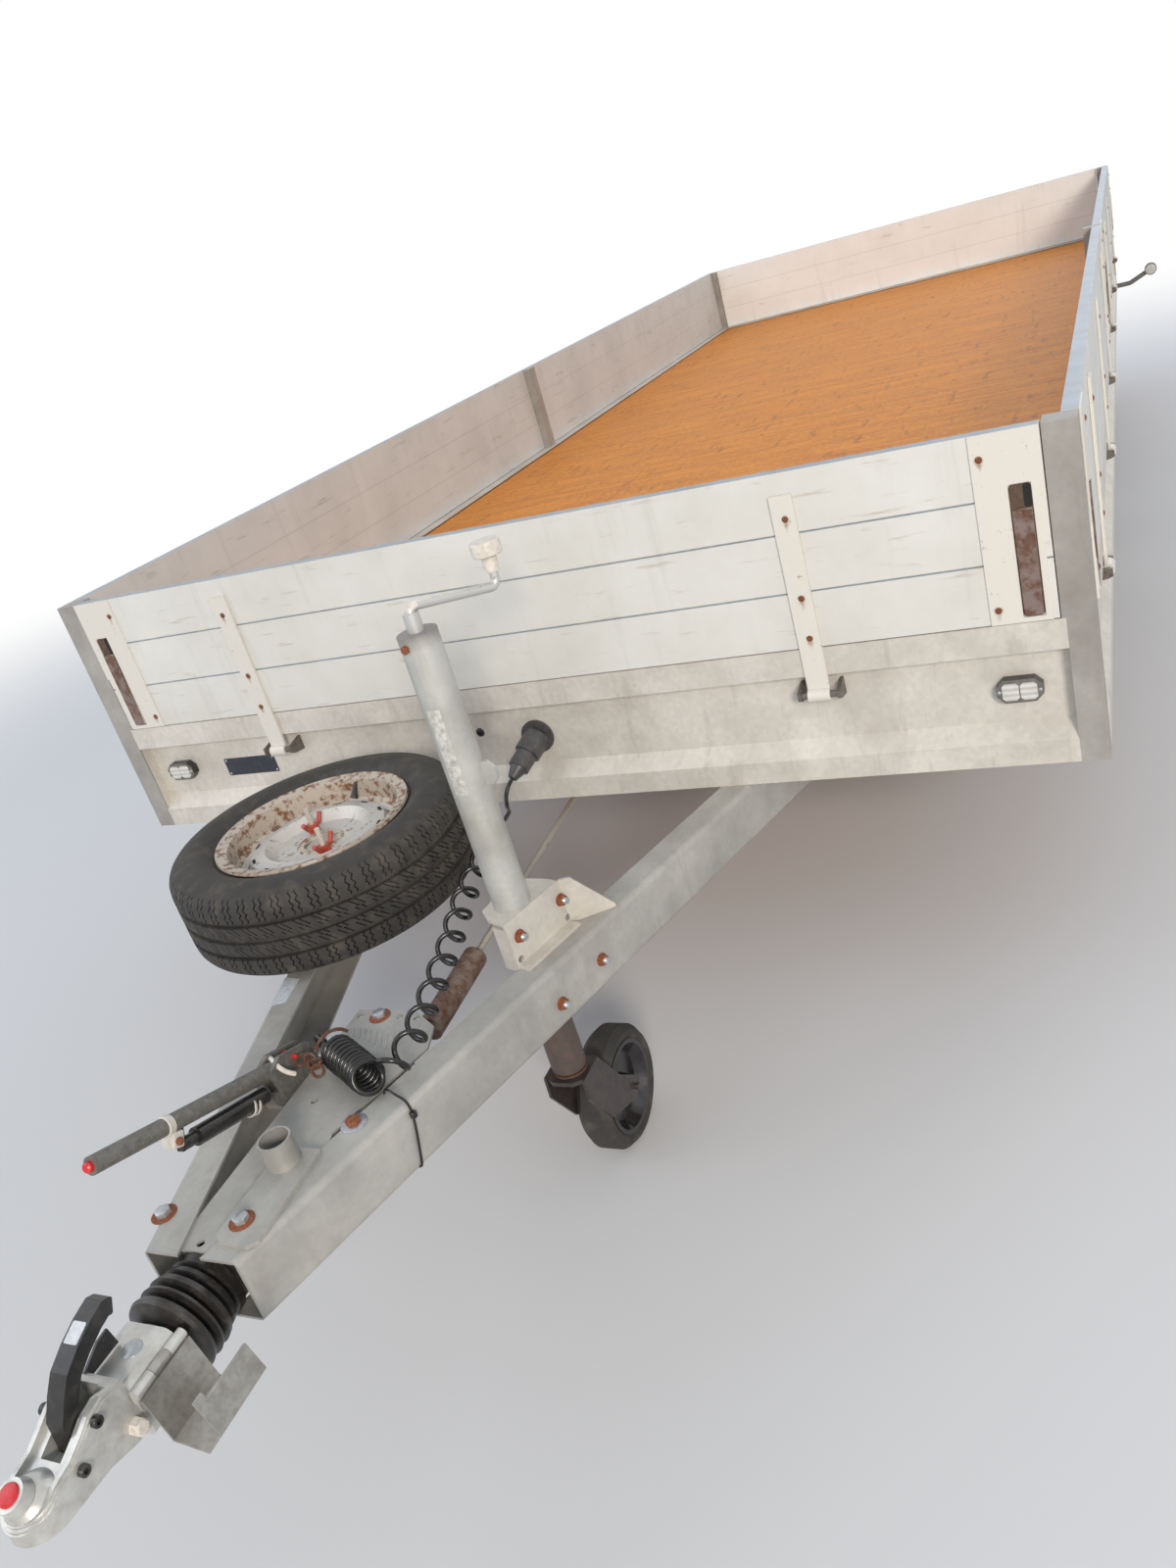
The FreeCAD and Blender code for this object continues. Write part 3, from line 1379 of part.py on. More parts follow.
def make_plug():
    web = -float(s.rail_recess)
    y = float(s.plug_out)
    z = float(s.plug_height)
    heading = Vector(0.82, -0.34, -0.46).normalize()
    start = Vector(web, y, z)
    plate = cylinder(34, tuple(start), X_AXIS, 5)
    holder = cylinder(26, tuple(start), heading, 44)
    behind = block(web - 60, web, y - 80, y + 80, z - 80, z + 80)
    holder = holder.cut(behind).fuse(plate)
    node("plug_holder", holder)
    plug_start = start + heading * 44
    grip = cylinder(s.plug_radius, tuple(plug_start), heading, 34)
    tail_start = plug_start + heading * 33.99
    tail = Part.makeCone(float(s.plug_radius) - 4, 9, 24, tail_start, heading)
    node("plug", grip.fuse(tail))
    return tail_start + heading * 24, heading


def cord_radii(points):
    """For each corner 0.45 of its shorter run divided by the tangent of half the turn."""
    radii = [0] * len(points)
    for i in range(1, len(points) - 1):
        back = points[i - 1] - points[i]
        ahead = points[i + 1] - points[i]
        turn_angle = math.pi - back.getAngle(ahead)
        radii[i] = 0.45 * min(back.Length, ahead.Length) / math.tan(turn_angle / 2)
    return radii


def cord_tube(name, points, radius):
    """A tube along straight runs and tangent arcs, checked against its section times its length."""
    radii = cord_radii(points)
    edges = bent_edges(points, radii)
    heading = (points[1] - points[0]).normalize()
    ring = Part.Wire(Part.Circle(points[0], heading, radius).toShape())
    path = Part.Wire(edges)
    tube = path.makePipeShell([ring], True, False)
    wanted = math.pi * radius ** 2 * path.Length
    print(name, "length", round(path.Length), "radii", [round(r) for r in radii[1:-1]],
          "volume share", round(tube.Volume / wanted, 4))
    return tube


def make_cable(plug_end, heading):
    """Lead from the parked plug, the stretched coil and the bunch that lies on the housing."""
    radius = float(s.cord_radius)
    coil = float(s.coil_radius)
    start = Vector(165, 8, 560)
    stretched = [start, Vector(250, 20, 560), Vector(392, 36, 551), Vector(516, 71, 542),
                 Vector(630, 99, 537), Vector(740, 124, 536), Vector(836, 124, 541)]
    run_in = (stretched[1] - start).normalize()
    drop = [plug_end, plug_end + heading * 18, Vector(82, -34, 556), Vector(108, -20, 545),
            start - run_in * 24, start]
    lead = cord_tube("cable_lead", drop, radius)
    fat = cord_tube("cable_coil", stretched, coil - 5)
    seat = float(beam_top) - float(s.beam_wall) + coil + float(s.seat_gap)
    bunch_start = Vector(758, -32, seat)
    bunch_end = Vector(826, 92, seat)
    run = bunch_end - bunch_start
    bunch = Part.makeCylinder(coil, run.Length, bunch_start, run)
    gap_run = run * (float(s.seat_gap) / run.Length)
    around = Part.makeCylinder(coil + float(s.seat_gap), run.Length + 2 * float(s.seat_gap),
                               bunch_start - gap_run, run)
    node("cable_lead", lead)
    node("cable_coil", fat.cut(around))
    node("cable_bunch", bunch)


make_frame()
make_cross_members()
make_floor()
make_posts()
make_boards()
make_drawbar()
make_housing()
make_boot()
make_coupling()
make_handle()
make_lock()
make_stub()
make_handbrake()
make_brake_rod()
make_jack()
make_wheels()
make_axles()
make_spare_carrier()
make_lamps()
plug_end, plug_heading = make_plug()
make_cable(plug_end, plug_heading)

doc.recompute()
for item in doc.Objects:
    if "Invalid" in item.State or "Error" in item.State:
        raise ValueError(f"{item.Label} failed: {item.State}")
os.makedirs("parts", exist_ok=True)
for item in NODES:
    shape = item.Shape
    if shape.isNull() or not shape.isValid():
        raise ValueError(f"{item.Label} is not a valid shape")
    shape.exportStep(f"parts/{item.Label}.step")
print(len(NODES), "sub-parts")
box = Part.makeCompound([item.Shape for item in NODES]).BoundBox
print("box", box)
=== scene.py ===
# %% [markdown]
# # A tandem-axle utility trailer, dressed in Blender
#
# The steel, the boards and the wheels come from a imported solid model, which is loaded as a frame.
# This lesson gives each of its parts a finish that is worked out from real sizes, and adds what is
# too small for the solid model: rivets, bolts, tread, lenses, cords and wear.

import math

import bmesh
import bpy
from mathutils import Matrix, Vector


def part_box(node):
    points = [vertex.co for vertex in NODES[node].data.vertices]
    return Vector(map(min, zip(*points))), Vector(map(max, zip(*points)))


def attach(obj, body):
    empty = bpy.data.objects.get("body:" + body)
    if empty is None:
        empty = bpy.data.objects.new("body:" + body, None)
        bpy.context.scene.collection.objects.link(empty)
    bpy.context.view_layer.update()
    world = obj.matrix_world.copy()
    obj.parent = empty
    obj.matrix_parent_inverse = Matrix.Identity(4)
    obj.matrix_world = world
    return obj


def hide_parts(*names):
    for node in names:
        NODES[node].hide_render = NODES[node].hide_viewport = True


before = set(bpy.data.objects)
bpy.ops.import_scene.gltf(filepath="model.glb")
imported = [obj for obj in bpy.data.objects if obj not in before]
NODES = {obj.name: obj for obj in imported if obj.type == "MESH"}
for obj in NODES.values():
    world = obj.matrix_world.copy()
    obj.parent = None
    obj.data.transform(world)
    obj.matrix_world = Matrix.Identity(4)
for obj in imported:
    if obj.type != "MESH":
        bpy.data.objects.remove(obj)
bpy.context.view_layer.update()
MM = 0.001
# The bed's front face stands this far ahead of the origin, in metres
BED_FRONT = 1.85475

# %% [markdown]
# ## The camera
#
# The photograph was taken by hand, from above the left side of the coupling, with a wide lens that
# was rolled. A camera is a place and three directions at right angles, so they are set as the
# columns of its matrix: right, up, and backwards.

# %% Camera
CAMERA_PLACE = Vector((3.6903, 1.1160, 1.4739))
LOOKS_ALONG = Vector((-0.799, -0.441, -0.410))
PICTURE_DOWN = Vector((0.485, -0.067, -0.872))
bpy.context.scene.view_settings.view_transform = "Standard"
camera_data = bpy.data.cameras.new("camera")
camera_data.sensor_fit = "VERTICAL"
camera_data.sensor_height = 36
camera_data.lens = 27.3
camera_data.clip_end = 200
camera = bpy.data.objects.new("camera", camera_data)
bpy.context.scene.collection.objects.link(camera)
bpy.context.scene.camera = camera
forward = LOOKS_ALONG.normalized()
right = PICTURE_DOWN.cross(forward).normalized()
down = forward.cross(right)
turn = Matrix((right, -down, -forward)).transposed()
camera.matrix_world = Matrix.Translation(CAMERA_PLACE) @ turn.to_4x4()
print("camera at", tuple(CAMERA_PLACE), "right", tuple(round(v, 3) for v in right))

# %% [markdown]
# ## Places on the trailer
#
# Most places were measured from the bed's front face, in millimetres, and Blender counts in
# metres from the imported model's origin. One function turns the one into the other.


# %% Millimetres from the bed's front to the frame's metres
def bed(x, y, z):
    """A point given in millimetres from the bed's front face, in the frame's metres."""
    return Vector((x / 1000 + BED_FRONT, y / 1000, z / 1000))


# %% [markdown]
# ## Smooth curves
#
# A wire, a hook or a chain link is a round bar bent along a smooth line. A NURBS curve makes that
# from a few points, and gives it a thickness. The same curve without a thickness can be read back
# as points, for a line that something else is wound round, or to measure how long it is.


# %% Curve helpers
def smooth_curve(name, places, finer, depth=0.0, radius=1.0, closed=False):
    """A NURBS curve in the scene, led by places in metres; depth times radius is half its thickness."""
    curve = bpy.data.curves.new(name, "CURVE")
    curve.dimensions = "3D"
    curve.bevel_depth = depth
    curve.bevel_resolution = 3
    curve.resolution_u = finer
    curve.use_fill_caps = True
    spline = curve.splines.new("NURBS")
    spline.points.add(len(places) - 1)
    for point, place in zip(spline.points, places):
        point.co = (*place, 1)
        point.radius = radius
    spline.order_u = 3
    spline.use_endpoint_u = not closed
    spline.use_cyclic_u = closed
    item = bpy.data.objects.new(name, curve)
    bpy.context.scene.collection.objects.link(item)
    return item


def mesh_of(item):
    """The mesh that a curve makes. The curve itself is removed."""
    curve = item.data
    data = bpy.data.meshes.new_from_object(item)
    bpy.data.objects.remove(item)
    bpy.data.curves.remove(curve)
    return data


def route_points(controls, finer):
    """Points along the smooth NURBS line that has these control points."""
    data = mesh_of(smooth_curve("route", controls, finer))
    points = [vertex.co.copy() for vertex in data.vertices]
    bpy.data.meshes.remove(data)
    return points


def length_of(line):
    """The length of a line of points."""
    return sum((ahead - here).length for here, ahead in zip(line, line[1:]))


# %% [markdown]
# ## The lead and its coil
#
# One black cable leaves the parked plug, drops, and turns into a springy coil that is stretched
# along the drawbar. The rest of the coil lies bunched on the overrun housing, and its end goes
# into the housing's side. Its middle line is a smooth NURBS route, and the helix is wound round
# the points that Blender reads from that route, so it bends with it. Where the coil is stretched
# the turns stand 60 mm apart, and in the bunch they lie a little more than a diameter apart.

# %% Route of the lead, in metres
LEAD_START = (1.9104, -0.0217, 0.5851)
LEAD = [LEAD_START, (1.9252, -0.0278, 0.5768), (1.9368, -0.0340, 0.5560), (1.9628, -0.0200, 0.5450),
        (1.9960, 0.0046, 0.5600)]
COIL_AXIS = [(2.0198, 0.0080, 0.5600), (2.1048, 0.0200, 0.5600), (2.2468, 0.0360, 0.5510),
             (2.3708, 0.0710, 0.5420), (2.4848, 0.0990, 0.5370), (2.5948, 0.1240, 0.5360),
             (2.6448, 0.1340, 0.5390), (2.6868, 0.1300, 0.5400), (2.6968, 0.1080, 0.5370),
             (2.6808, 0.0880, 0.5310), (2.6480, 0.0320, 0.5300), (2.6127, -0.0320, 0.5293)]
LEAD_TAIL = [(2.5930, -0.0620, 0.5240), (2.5860, -0.0720, 0.5050), (2.5840, -0.0640, 0.4820),
             (2.5840, -0.0330, 0.4740)]
WIRE = 0.008
axis_line = route_points(COIL_AXIS, 16)
axis_length = length_of(axis_line)
print("coil along", round(axis_length, 3), "m")

# %% [markdown]
# A helix is a point that circles a line while it moves along it. Its radius and its pitch may
# change on the way, so both are functions of the distance gone. The line is walked in steps much
# finer than a turn, and a point is set down fourteen times in each turn.

# %% Helix with a changing radius and pitch
WALKING_STEP = 0.0003
POINTS_PER_TURN = 14


def helix(line, radius_at, pitch_at):
    """Points that wind round a line, with a radius and a pitch for each distance along it."""
    across = Vector((0, 0, 1)).cross(line[1] - line[0]).normalized()
    gone = 0.0
    phase = 0.0
    wanted = 0.0
    out = []
    for here, ahead in zip(line, line[1:]):
        run = ahead - here
        way = run.normalized()
        across = (across - way * across.dot(way)).normalized()
        other = way.cross(across)
        steps = max(2, round(run.length / WALKING_STEP))
        for step in range(steps):
            phase += 2 * math.pi * run.length / steps / pitch_at(gone)
            gone += run.length / steps
            if phase >= wanted:
                radius = radius_at(gone)
                out.append(here + run * (step / steps) + across * radius * math.cos(phase)
                           + other * radius * math.sin(phase))
                wanted += 2 * math.pi / POINTS_PER_TURN
    return out


def between(value, low, high):
    """0 below low, 1 above high, and a smooth step between them."""
    share = min(1.0, max(0.0, (value - low) / (high - low)))
    return share * share * (3 - 2 * share)


print("halfway between 0 and 1", between(0.5, 0, 1))

# %% [markdown]
# The bunch is the last 150 mm of the coil's line. In the last 50 mm the turns draw apart again and
# close on the line, so that the wire leaves the coil straight.

# %% The coil's radius and pitch along its line, in metres
STRETCHED_RADIUS = 0.0185
FULLER_BY = 0.0050
STRETCHED_PITCH = 0.060
CLOSER_BY = 0.049
WIDER_BY = 0.080
BUNCH_LENGTH = 0.15
END_LENGTH = 0.05
bunch_from = axis_length - BUNCH_LENGTH
end_from = axis_length - END_LENGTH


def coil_radius(gone):
    """The coil's radius: it opens from the lead, is fuller in the bunch, and closes on the tail."""
    stretched = STRETCHED_RADIUS * between(gone, 0.0, 0.07)
    fuller = FULLER_BY * between(gone, bunch_from - 0.03, bunch_from + 0.01)
    return (stretched + fuller) * (1 - 0.97 * between(gone, end_from, axis_length))


def coil_pitch(gone):
    """The coil's pitch: 60 mm where it is stretched, 11 mm in the bunch, and wide again at its end."""
    closed = between(gone, bunch_from - 0.025, bunch_from + 0.004)
    opened = between(gone, end_from, axis_length - END_LENGTH / 2)
    return STRETCHED_PITCH - CLOSER_BY * closed + WIDER_BY * opened


turns = helix(axis_line, coil_radius, coil_pitch)
print("coil points", len(turns))

# %% [markdown]
# The lead is one open curve from the plug to the housing. Blender makes a curve's box larger by the
# radius of its points, which is one metre unless it is set. So here the points carry half the
# wire's thickness, and the depth is 1.

# %% The lead as one curve
cord_line = [Vector(p) for p in LEAD] + turns + [Vector(p) for p in LEAD_TAIL]
lead_cord = smooth_curve("lead_with_coil", cord_line, 3, depth=1, radius=WIRE / 2)
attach(lead_cord, "chassis")
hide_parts("cable_lead", "cable_coil", "cable_bunch")
cord_length = length_of(route_points(cord_line, 3))
print("cord", round(cord_length, 3), "m of", WIRE, "with", len(cord_line), "points")

# %% [markdown]
# ## Colours and nodes
#
# Colours are written as the sRGB hex values that a paint chart or a picture editor shows. Blender
# counts light in linear values, so one function turns the one into the other. Another small
# function adds a shader node with its settings and its links in one line.


# %% Colour and node helpers
def colour(code):
    """An sRGB hex colour such as C8C2B6 as linear red, green, blue and alpha."""
    parts = [int(code[i:i + 2], 16) / 255 for i in (0, 2, 4)]
    return [p / 12.92 if p <= 0.04045 else ((p + 0.055) / 1.055) ** 2.4 for p in parts] + [1]


def add(tree, kind, inputs=None, **settings):
    """Adds one node. Its inputs are numbers, colours, or the sockets that feed them."""
    item = tree.nodes.new(kind)
    for name, value in settings.items():
        setattr(item, name, value)
    for name, value in (inputs or {}).items():
        if isinstance(value, bpy.types.NodeSocket):
            tree.links.new(value, item.inputs[name])
        else:
            item.inputs[name].default_value = value
    return item


def start_material(name):
    """A material with an empty tree but its shader and output, and the object's own coordinates."""
    material = bpy.data.materials.new(name)
    material.use_nodes = True
    tree = material.node_tree
    shader = tree.nodes["Principled BSDF"]
    place = add(tree, "ShaderNodeTexCoord").outputs["Object"]
    return material, tree, shader, place


# %% [markdown]
# ## Patches and relief
#
# Weathered surfaces are mostly one colour laid over another in patches: rust on zinc, dirt on
# paint, dust on rubber. One function makes that effect from noise whose lumps have a real size in
# millimetres. A second gives the fine relief of a cast or moulded skin, and a third lets an area
# shine or go dull with the same patches, so that the eye reads both as one coat.


# %% Patch and relief helpers
def patched(tree, place, under, over, lump_mm, share, strength=1.0, edge=0.06, stretch=(1, 1, 1)):
    """A colour that lies over another on about a share of the surface, and how much of it lies there."""
    laid = add(tree, "ShaderNodeMapping", {"Vector": place, "Scale": stretch}).outputs[0]
    lumps = add(tree, "ShaderNodeTexNoise", {"Vector": laid, "Scale": 1000 / lump_mm, "Detail": 6,
                                             "Roughness": 0.62}).outputs[0]
    level = 0.5 + (0.5 - share) * 0.5
    cover = add(tree, "ShaderNodeMapRange", {"Value": lumps, "From Min": level - edge,
                                             "From Max": level + edge, "To Max": strength}).outputs[0]
    both = add(tree, "ShaderNodeMix", {0: cover, 6: under, 7: over}, data_type="RGBA").outputs[2]
    return both, cover


def relief(tree, shader, place, grain_mm, depth_mm, stretch=(1, 1, 1), strength=0.5):
    """Fine lumps in the surface, depth_mm high and about grain_mm across."""
    laid = add(tree, "ShaderNodeMapping", {"Vector": place, "Scale": stretch}).outputs[0]
    lumps = add(tree, "ShaderNodeTexNoise", {"Vector": laid, "Scale": 1000 / grain_mm, "Detail": 4})
    bump = add(tree, "ShaderNodeBump", {"Height": lumps.outputs[0], "Distance": depth_mm / 1000,
                                        "Strength": strength})
    tree.links.new(bump.outputs[0], shader.inputs["Normal"])


def shine(tree, shader, cover, bare, covered):
    """Roughness that goes from the bare surface's to the covering's with the patches."""
    rough = add(tree, "ShaderNodeMapRange", {"Value": cover, "To Min": bare, "To Max": covered})
    tree.links.new(rough.outputs[0], shader.inputs["Roughness"])


# %% [markdown]
# ## Galvanised steel
#
# The frame, the posts and the drawbar are dipped in molten zinc. New zinc shows bright crystals,
# or spangle, 5 to 15 mm across. After years outdoors it goes dull and chalky, with paler blooms
# where rain runs, brown dirt in patches and a few dark specks. Dull zinc scatters light like paint,
# so only part of it is metallic.


# %% Galvanised steel
def galvanised(name, pale, dull, stain, stain_share, metallic=0.25):
    """Dull zinc with blooms of a paler one, faint crystals, dirt, streaks of rain and dark specks."""
    material, tree, shader, place = start_material(name)
    crystals = add(tree, "ShaderNodeTexVoronoi", {"Vector": place, "Scale": 1000 / 9})
    spangle = add(tree, "ShaderNodeSeparateColor", {0: crystals.outputs["Color"]}).outputs[0]
    zinc, bloom = patched(tree, place, colour(dull), colour(pale), 150, 0.55, edge=0.16)
    faint = add(tree, "ShaderNodeMath", {0: spangle, 1: 0.14}, operation="MULTIPLY").outputs[0]
    crystalled = add(tree, "ShaderNodeMix", {0: faint, 6: zinc, 7: colour("85898E")},
                     data_type="RGBA").outputs[2]
    dirty = patched(tree, place, crystalled, colour(stain), 110, stain_share, 0.4, 0.16)[0]
    streaked = patched(tree, place, dirty, colour("8A8275"), 26, 0.14, 0.35, 0.1, (1, 1, 0.15))[0]
    specked = patched(tree, place, streaked, colour("5C4A3A"), 6, 0.06, 0.7, 0.03)[0]
    tree.links.new(specked, shader.inputs["Base Color"])
    shader.inputs["Metallic"].default_value = metallic
    shine(tree, shader, bloom, 0.4, 0.6)
    relief(tree, shader, place, 5, 0.25)
    return material


frame_steel = galvanised("galvanised_steel_chalky", "DAD5CB", "C8C2B6", "9C9282", 0.22)
# The posts' zinc is a darker copy of the frame's, which is painted shade
post_steel_painted_shade = galvanised("galvanised_steel_posts_painted_shade", "AEABA4", "959088", "7C7468", 0.25)
beam_steel = galvanised("galvanised_steel_bluish", "BAB8B1", "9C9A94", "837C72", 0.26, 0.3)
tube_steel = galvanised("galvanised_steel_worn_tube", "BFBFB9", "A6A59E", "8C8375", 0.25)
print("galvanised finishes", frame_steel.name, beam_steel.name, tube_steel.name)

# %% [markdown]
# The jack's tube has rusted below its clamp and round its open top, where water stands, so its zinc
# goes brown with the height.

# %% Rust low on the jack's tube and at its top
CLEAN_ABOVE = 0.50
BROWN_BELOW = 0.42
CLEAN_BELOW = 1.020
BROWN_ABOVE = 1.042
tree = tube_steel.node_tree
shader = tree.nodes["Principled BSDF"]
zinc = shader.inputs["Base Color"].links[0].from_socket
place = add(tree, "ShaderNodeTexCoord").outputs["Object"]
height = add(tree, "ShaderNodeSeparateXYZ", {0: place}).outputs["Z"]
foot = add(tree, "ShaderNodeMapRange", {"Value": height, "From Min": CLEAN_ABOVE, "From Max": BROWN_BELOW,
                                        "To Max": 0.9}).outputs[0]
top = add(tree, "ShaderNodeMapRange", {"Value": height, "From Min": CLEAN_BELOW, "From Max": BROWN_ABOVE,
                                       "To Max": 0.5}).outputs[0]
either = add(tree, "ShaderNodeMath", {0: foot, 1: top}, operation="ADD").outputs[0]
brown = patched(tree, place, colour("3C2E28"), colour("50382C"), 14, 0.45, 1, 0.15)[0]
rusted = add(tree, "ShaderNodeMix", {0: either, 6: zinc, 7: brown}, data_type="RGBA").outputs[2]
tree.links.new(rusted, shader.inputs["Base Color"])
print("tube brown below", BROWN_BELOW, "and above", BROWN_ABOVE, "metres")

# %% [markdown]
# ## Coated boards
#
# The drop boards are steel planks with a factory coat in off-white. Outside they are bright, with a
# few streaks that rain has drawn downwards, a thin darker line in each of the two pressed grooves
# and hardly any chips. Inside the coat is greyer, and loads have drawn long thin scuffs along the
# boards. The rear board's inner face takes a paler copy of that coat, the palest of all, which is
# painted light.


# %% Board coats
GROOVES_MIDDLE = 0.905
GROOVE_FROM_MIDDLE = 0.05
GROOVE_HALF_WIDTH = 0.0022


def board_coat(name, clean, grimy, grime_share, scuff, scuff_share):
    """A paint with broad grime, streaks of rain, long scuffs, and a darker line in the two grooves."""
    material, tree, shader, place = start_material(name)
    base, grime = patched(tree, place, colour(clean), colour(grimy), 240, grime_share, 0.8, 0.18)
    washed = patched(tree, place, base, colour("A8A79F"), 40, 0.12, 0.35, 0.12, (1, 1, 0.1))[0]
    scuffed = patched(tree, place, washed, colour(scuff), 16, scuff_share, 0.6, 0.06, (0.12, 0.12, 1))[0]
    chipped = patched(tree, place, scuffed, colour("8A7358"), 7, 0.02, 0.7, 0.02)[0]
    height = add(tree, "ShaderNodeSeparateXYZ", {0: place}).outputs["Z"]
    from_middle = add(tree, "ShaderNodeMath", {0: height, 1: GROOVES_MIDDLE},
                      operation="SUBTRACT").outputs[0]
    either_way = add(tree, "ShaderNodeMath", {0: from_middle}, operation="ABSOLUTE").outputs[0]
    near_groove = add(tree, "ShaderNodeMath", {0: either_way, 1: GROOVE_FROM_MIDDLE, 2: GROOVE_HALF_WIDTH},
                      operation="COMPARE").outputs[0]
    thinned = add(tree, "ShaderNodeMath", {0: near_groove, 1: 0.15}, operation="MULTIPLY").outputs[0]
    lined = add(tree, "ShaderNodeMix", {0: thinned, 6: chipped, 7: colour("6F6C62")},
                data_type="RGBA").outputs[2]
    tree.links.new(lined, shader.inputs["Base Color"])
    shine(tree, shader, grime, 0.34, 0.55)
    relief(tree, shader, place, 110, 1.5, strength=0.2)
    return material


outer_coat = board_coat("coated_steel_off_white", "DAD9D3", "C8C6BC", 0.45, "A99C84", 0.16)
inner_coat = board_coat("coated_steel_rubbed_grey", "D2D3CF", "BFC0BB", 0.45, "9A968E", 0.16)
# Painted light: the rear board's inner coat is a paler copy of the inner one
painted_lit_rear_coat = board_coat("coated_steel_painted_lit_rear", "F6F4EE", "E8E5DC", 0.35, "B4AC9E", 0.12)
print("board coats", outer_coat.name, inner_coat.name)

# %% [markdown]
# ## Film-faced plywood
#
# The floor is plywood whose film has worn through to a strong orange. Its face grain runs across
# the bed in bands 10 to 40 mm wide, the film keeps a fine flecked press pattern, and traffic has
# left a few dark scratches and faded patches.

# %% Plywood floor
floor_wood, tree, shader, place = start_material("plywood_worn_film")
across_bed = (1, 0.12, 1)
wood = patched(tree, place, colour("B86412"), colour("E08A1C"), 28, 0.62, 1, 0.22, across_bed)[0]
flecked = patched(tree, place, wood, colour("F0A63A"), 5, 0.34, 0.75, 0.08, (1, 0.45, 1))[0]
faded, fade = patched(tree, place, flecked, colour("C68A40"), 380, 0.25, 0.25, 0.15)
rubbed = patched(tree, place, faded, colour("6E4018"), 26, 0.2, 0.6, 0.07, (0.22, 1, 1))[0]
tree.links.new(rubbed, shader.inputs["Base Color"])
shine(tree, shader, fade, 0.6, 0.75)
relief(tree, shader, place, 6, 0.4, (1, 0.3, 1))
print("floor", floor_wood.name)

# %% [markdown]
# ## Castings, plated parts, rubber and plastic
#
# The rest of the finishes come in two kinds. A skin is cast, moulded or painted, in two close
# shades with dust on it. A rusty metal is zinc or paint that has gone brown in part, and where it
# rusts it stops being metallic and goes rough.


# %% Skins and rusty metals
def skin(name, base, other, dust, lump_mm, metallic, rough, grain_mm, depth_mm):
    """A moulded, cast or painted surface in two shades, with dust on about a quarter of it."""
    material, tree, shader, place = start_material(name)
    shaded = patched(tree, place, colour(base), colour(other), lump_mm, 0.5, 1, 0.14)[0]
    dusty, film = patched(tree, place, shaded, colour(dust), lump_mm * 0.6, 0.25, 0.45, 0.12)
    tree.links.new(dusty, shader.inputs["Base Color"])
    shader.inputs["Metallic"].default_value = metallic
    shine(tree, shader, film, rough[0], rough[1])
    relief(tree, shader, place, grain_mm, depth_mm)
    return material


def rusty(name, metal, rust, share, lump_mm=14, metallic=0.5, bare_rough=0.42):
    """Metal with rust on about a share of it."""
    material, tree, shader, place = start_material(name)
    brown = patched(tree, place, colour(rust), colour("5A3420"), lump_mm / 3, 0.4, 1, 0.15)[0]
    worn, cover = patched(tree, place, colour(metal), brown, lump_mm, share)
    tree.links.new(worn, shader.inputs["Base Color"])
    metal_left = add(tree, "ShaderNodeMapRange", {"Value": cover, "To Min": metallic, "To Max": 0.0})
    tree.links.new(metal_left.outputs[0], shader.inputs["Metallic"])
    shine(tree, shader, cover, bare_rough, 0.9)
    relief(tree, shader, place, lump_mm / 4, 0.4)
    return material


cast_zinc = skin("zinc_plated_casting", "CFCFCA", "B9B8B3", "9C958A", 30, 0.5, (0.32, 0.5), 3, 0.25)
strap_paint = rusty("warm_white_strap_paint", "D8D4CA", "A07A58", 0.09, 12, 0.05, 0.45)
bright_zinc = rusty("zinc_plated_steel", "C4C4C0", "8A6242", 0.1)
# The top edge's bare zinc, with a bluish tone that is painted sky light on upward faces
zinc_edge_painted_sky = skin("zinc_top_edge_painted_sky_blue", "9DA7B0", "8E979E", "A9A69C", 60, 0.4, (0.42, 0.6), 6, 0.1)
nut_zinc = skin("bluish_plated_fastener", "B4B9BE", "9DA2A6", "8E8474", 8, 0.5, (0.32, 0.5), 1, 0.05)
rust_steel = rusty("rusty_fastener_steel", "8A7058", "96583A", 0.75, 8)
rivet_steel = rusty("brown_rusted_rivet", "9A7358", "7A4A30", 0.75, 5)
wheel_paint = rusty("silver_wheel_paint_with_rust", "C6C3BD", "7A5C48", 0.2, 12, 0.3)
flange_rust = rusty("brown_speckled_flange", "BFB4A6", "8C684E", 0.4, 16, 0.2)
latch_steel = rusty("rusted_latch_steel", "80706A", "6C5448", 0.5, 30, 0.15)
pin_steel = rusty("dark_grey_hinge_steel", "6C6862", "5E4E42", 0.35, 12, 0.3)
can_steel = rusty("brown_rusted_can", "7F7066", "6F584A", 0.5, 26, 0.1)
rod_zinc = rusty("pale_worn_rod", "B4AEA2", "7C6A58", 0.2, 18, 0.3)
# Rust on the jack's slider, darkened further as painted shade; the links and the clip use it too
rust_and_painted_shade = rusty("rusted_slider_and_painted_shade", "5E4C42", "5A3C2C", 0.6, 12, 0.1)
flap_steel = skin("dull_stainless_steel", "ACAAA4", "98958E", "7C766C", 16, 0.65, (0.28, 0.45), 3, 0.1)
lever_steel = skin("grey_sleeved_lever", "716F69", "5C5A55", "918B80", 10, 0.1, (0.5, 0.7), 2, 0.15)
black_paint = skin("black_enamel", "1D1D1E", "2E2C2A", "5A554C", 40, 0, (0.25, 0.55), 3, 0.1)
fork_paint = skin("dusty_black_fork_paint", "2F2B2C", "463F3D", "5C4A44", 22, 0.1, (0.3, 0.6), 3, 0.1)
jack_rim_steel = skin("dark_pressed_rim", "3C3C42", "4A4848", "5C5650", 24, 0.7, (0.18, 0.35), 3, 0.05)
tyre_rubber = skin("tyre_rubber_dusty", "2A2928", "383532", "6F665A", 60, 0, (0.72, 0.92), 3, 0.15)
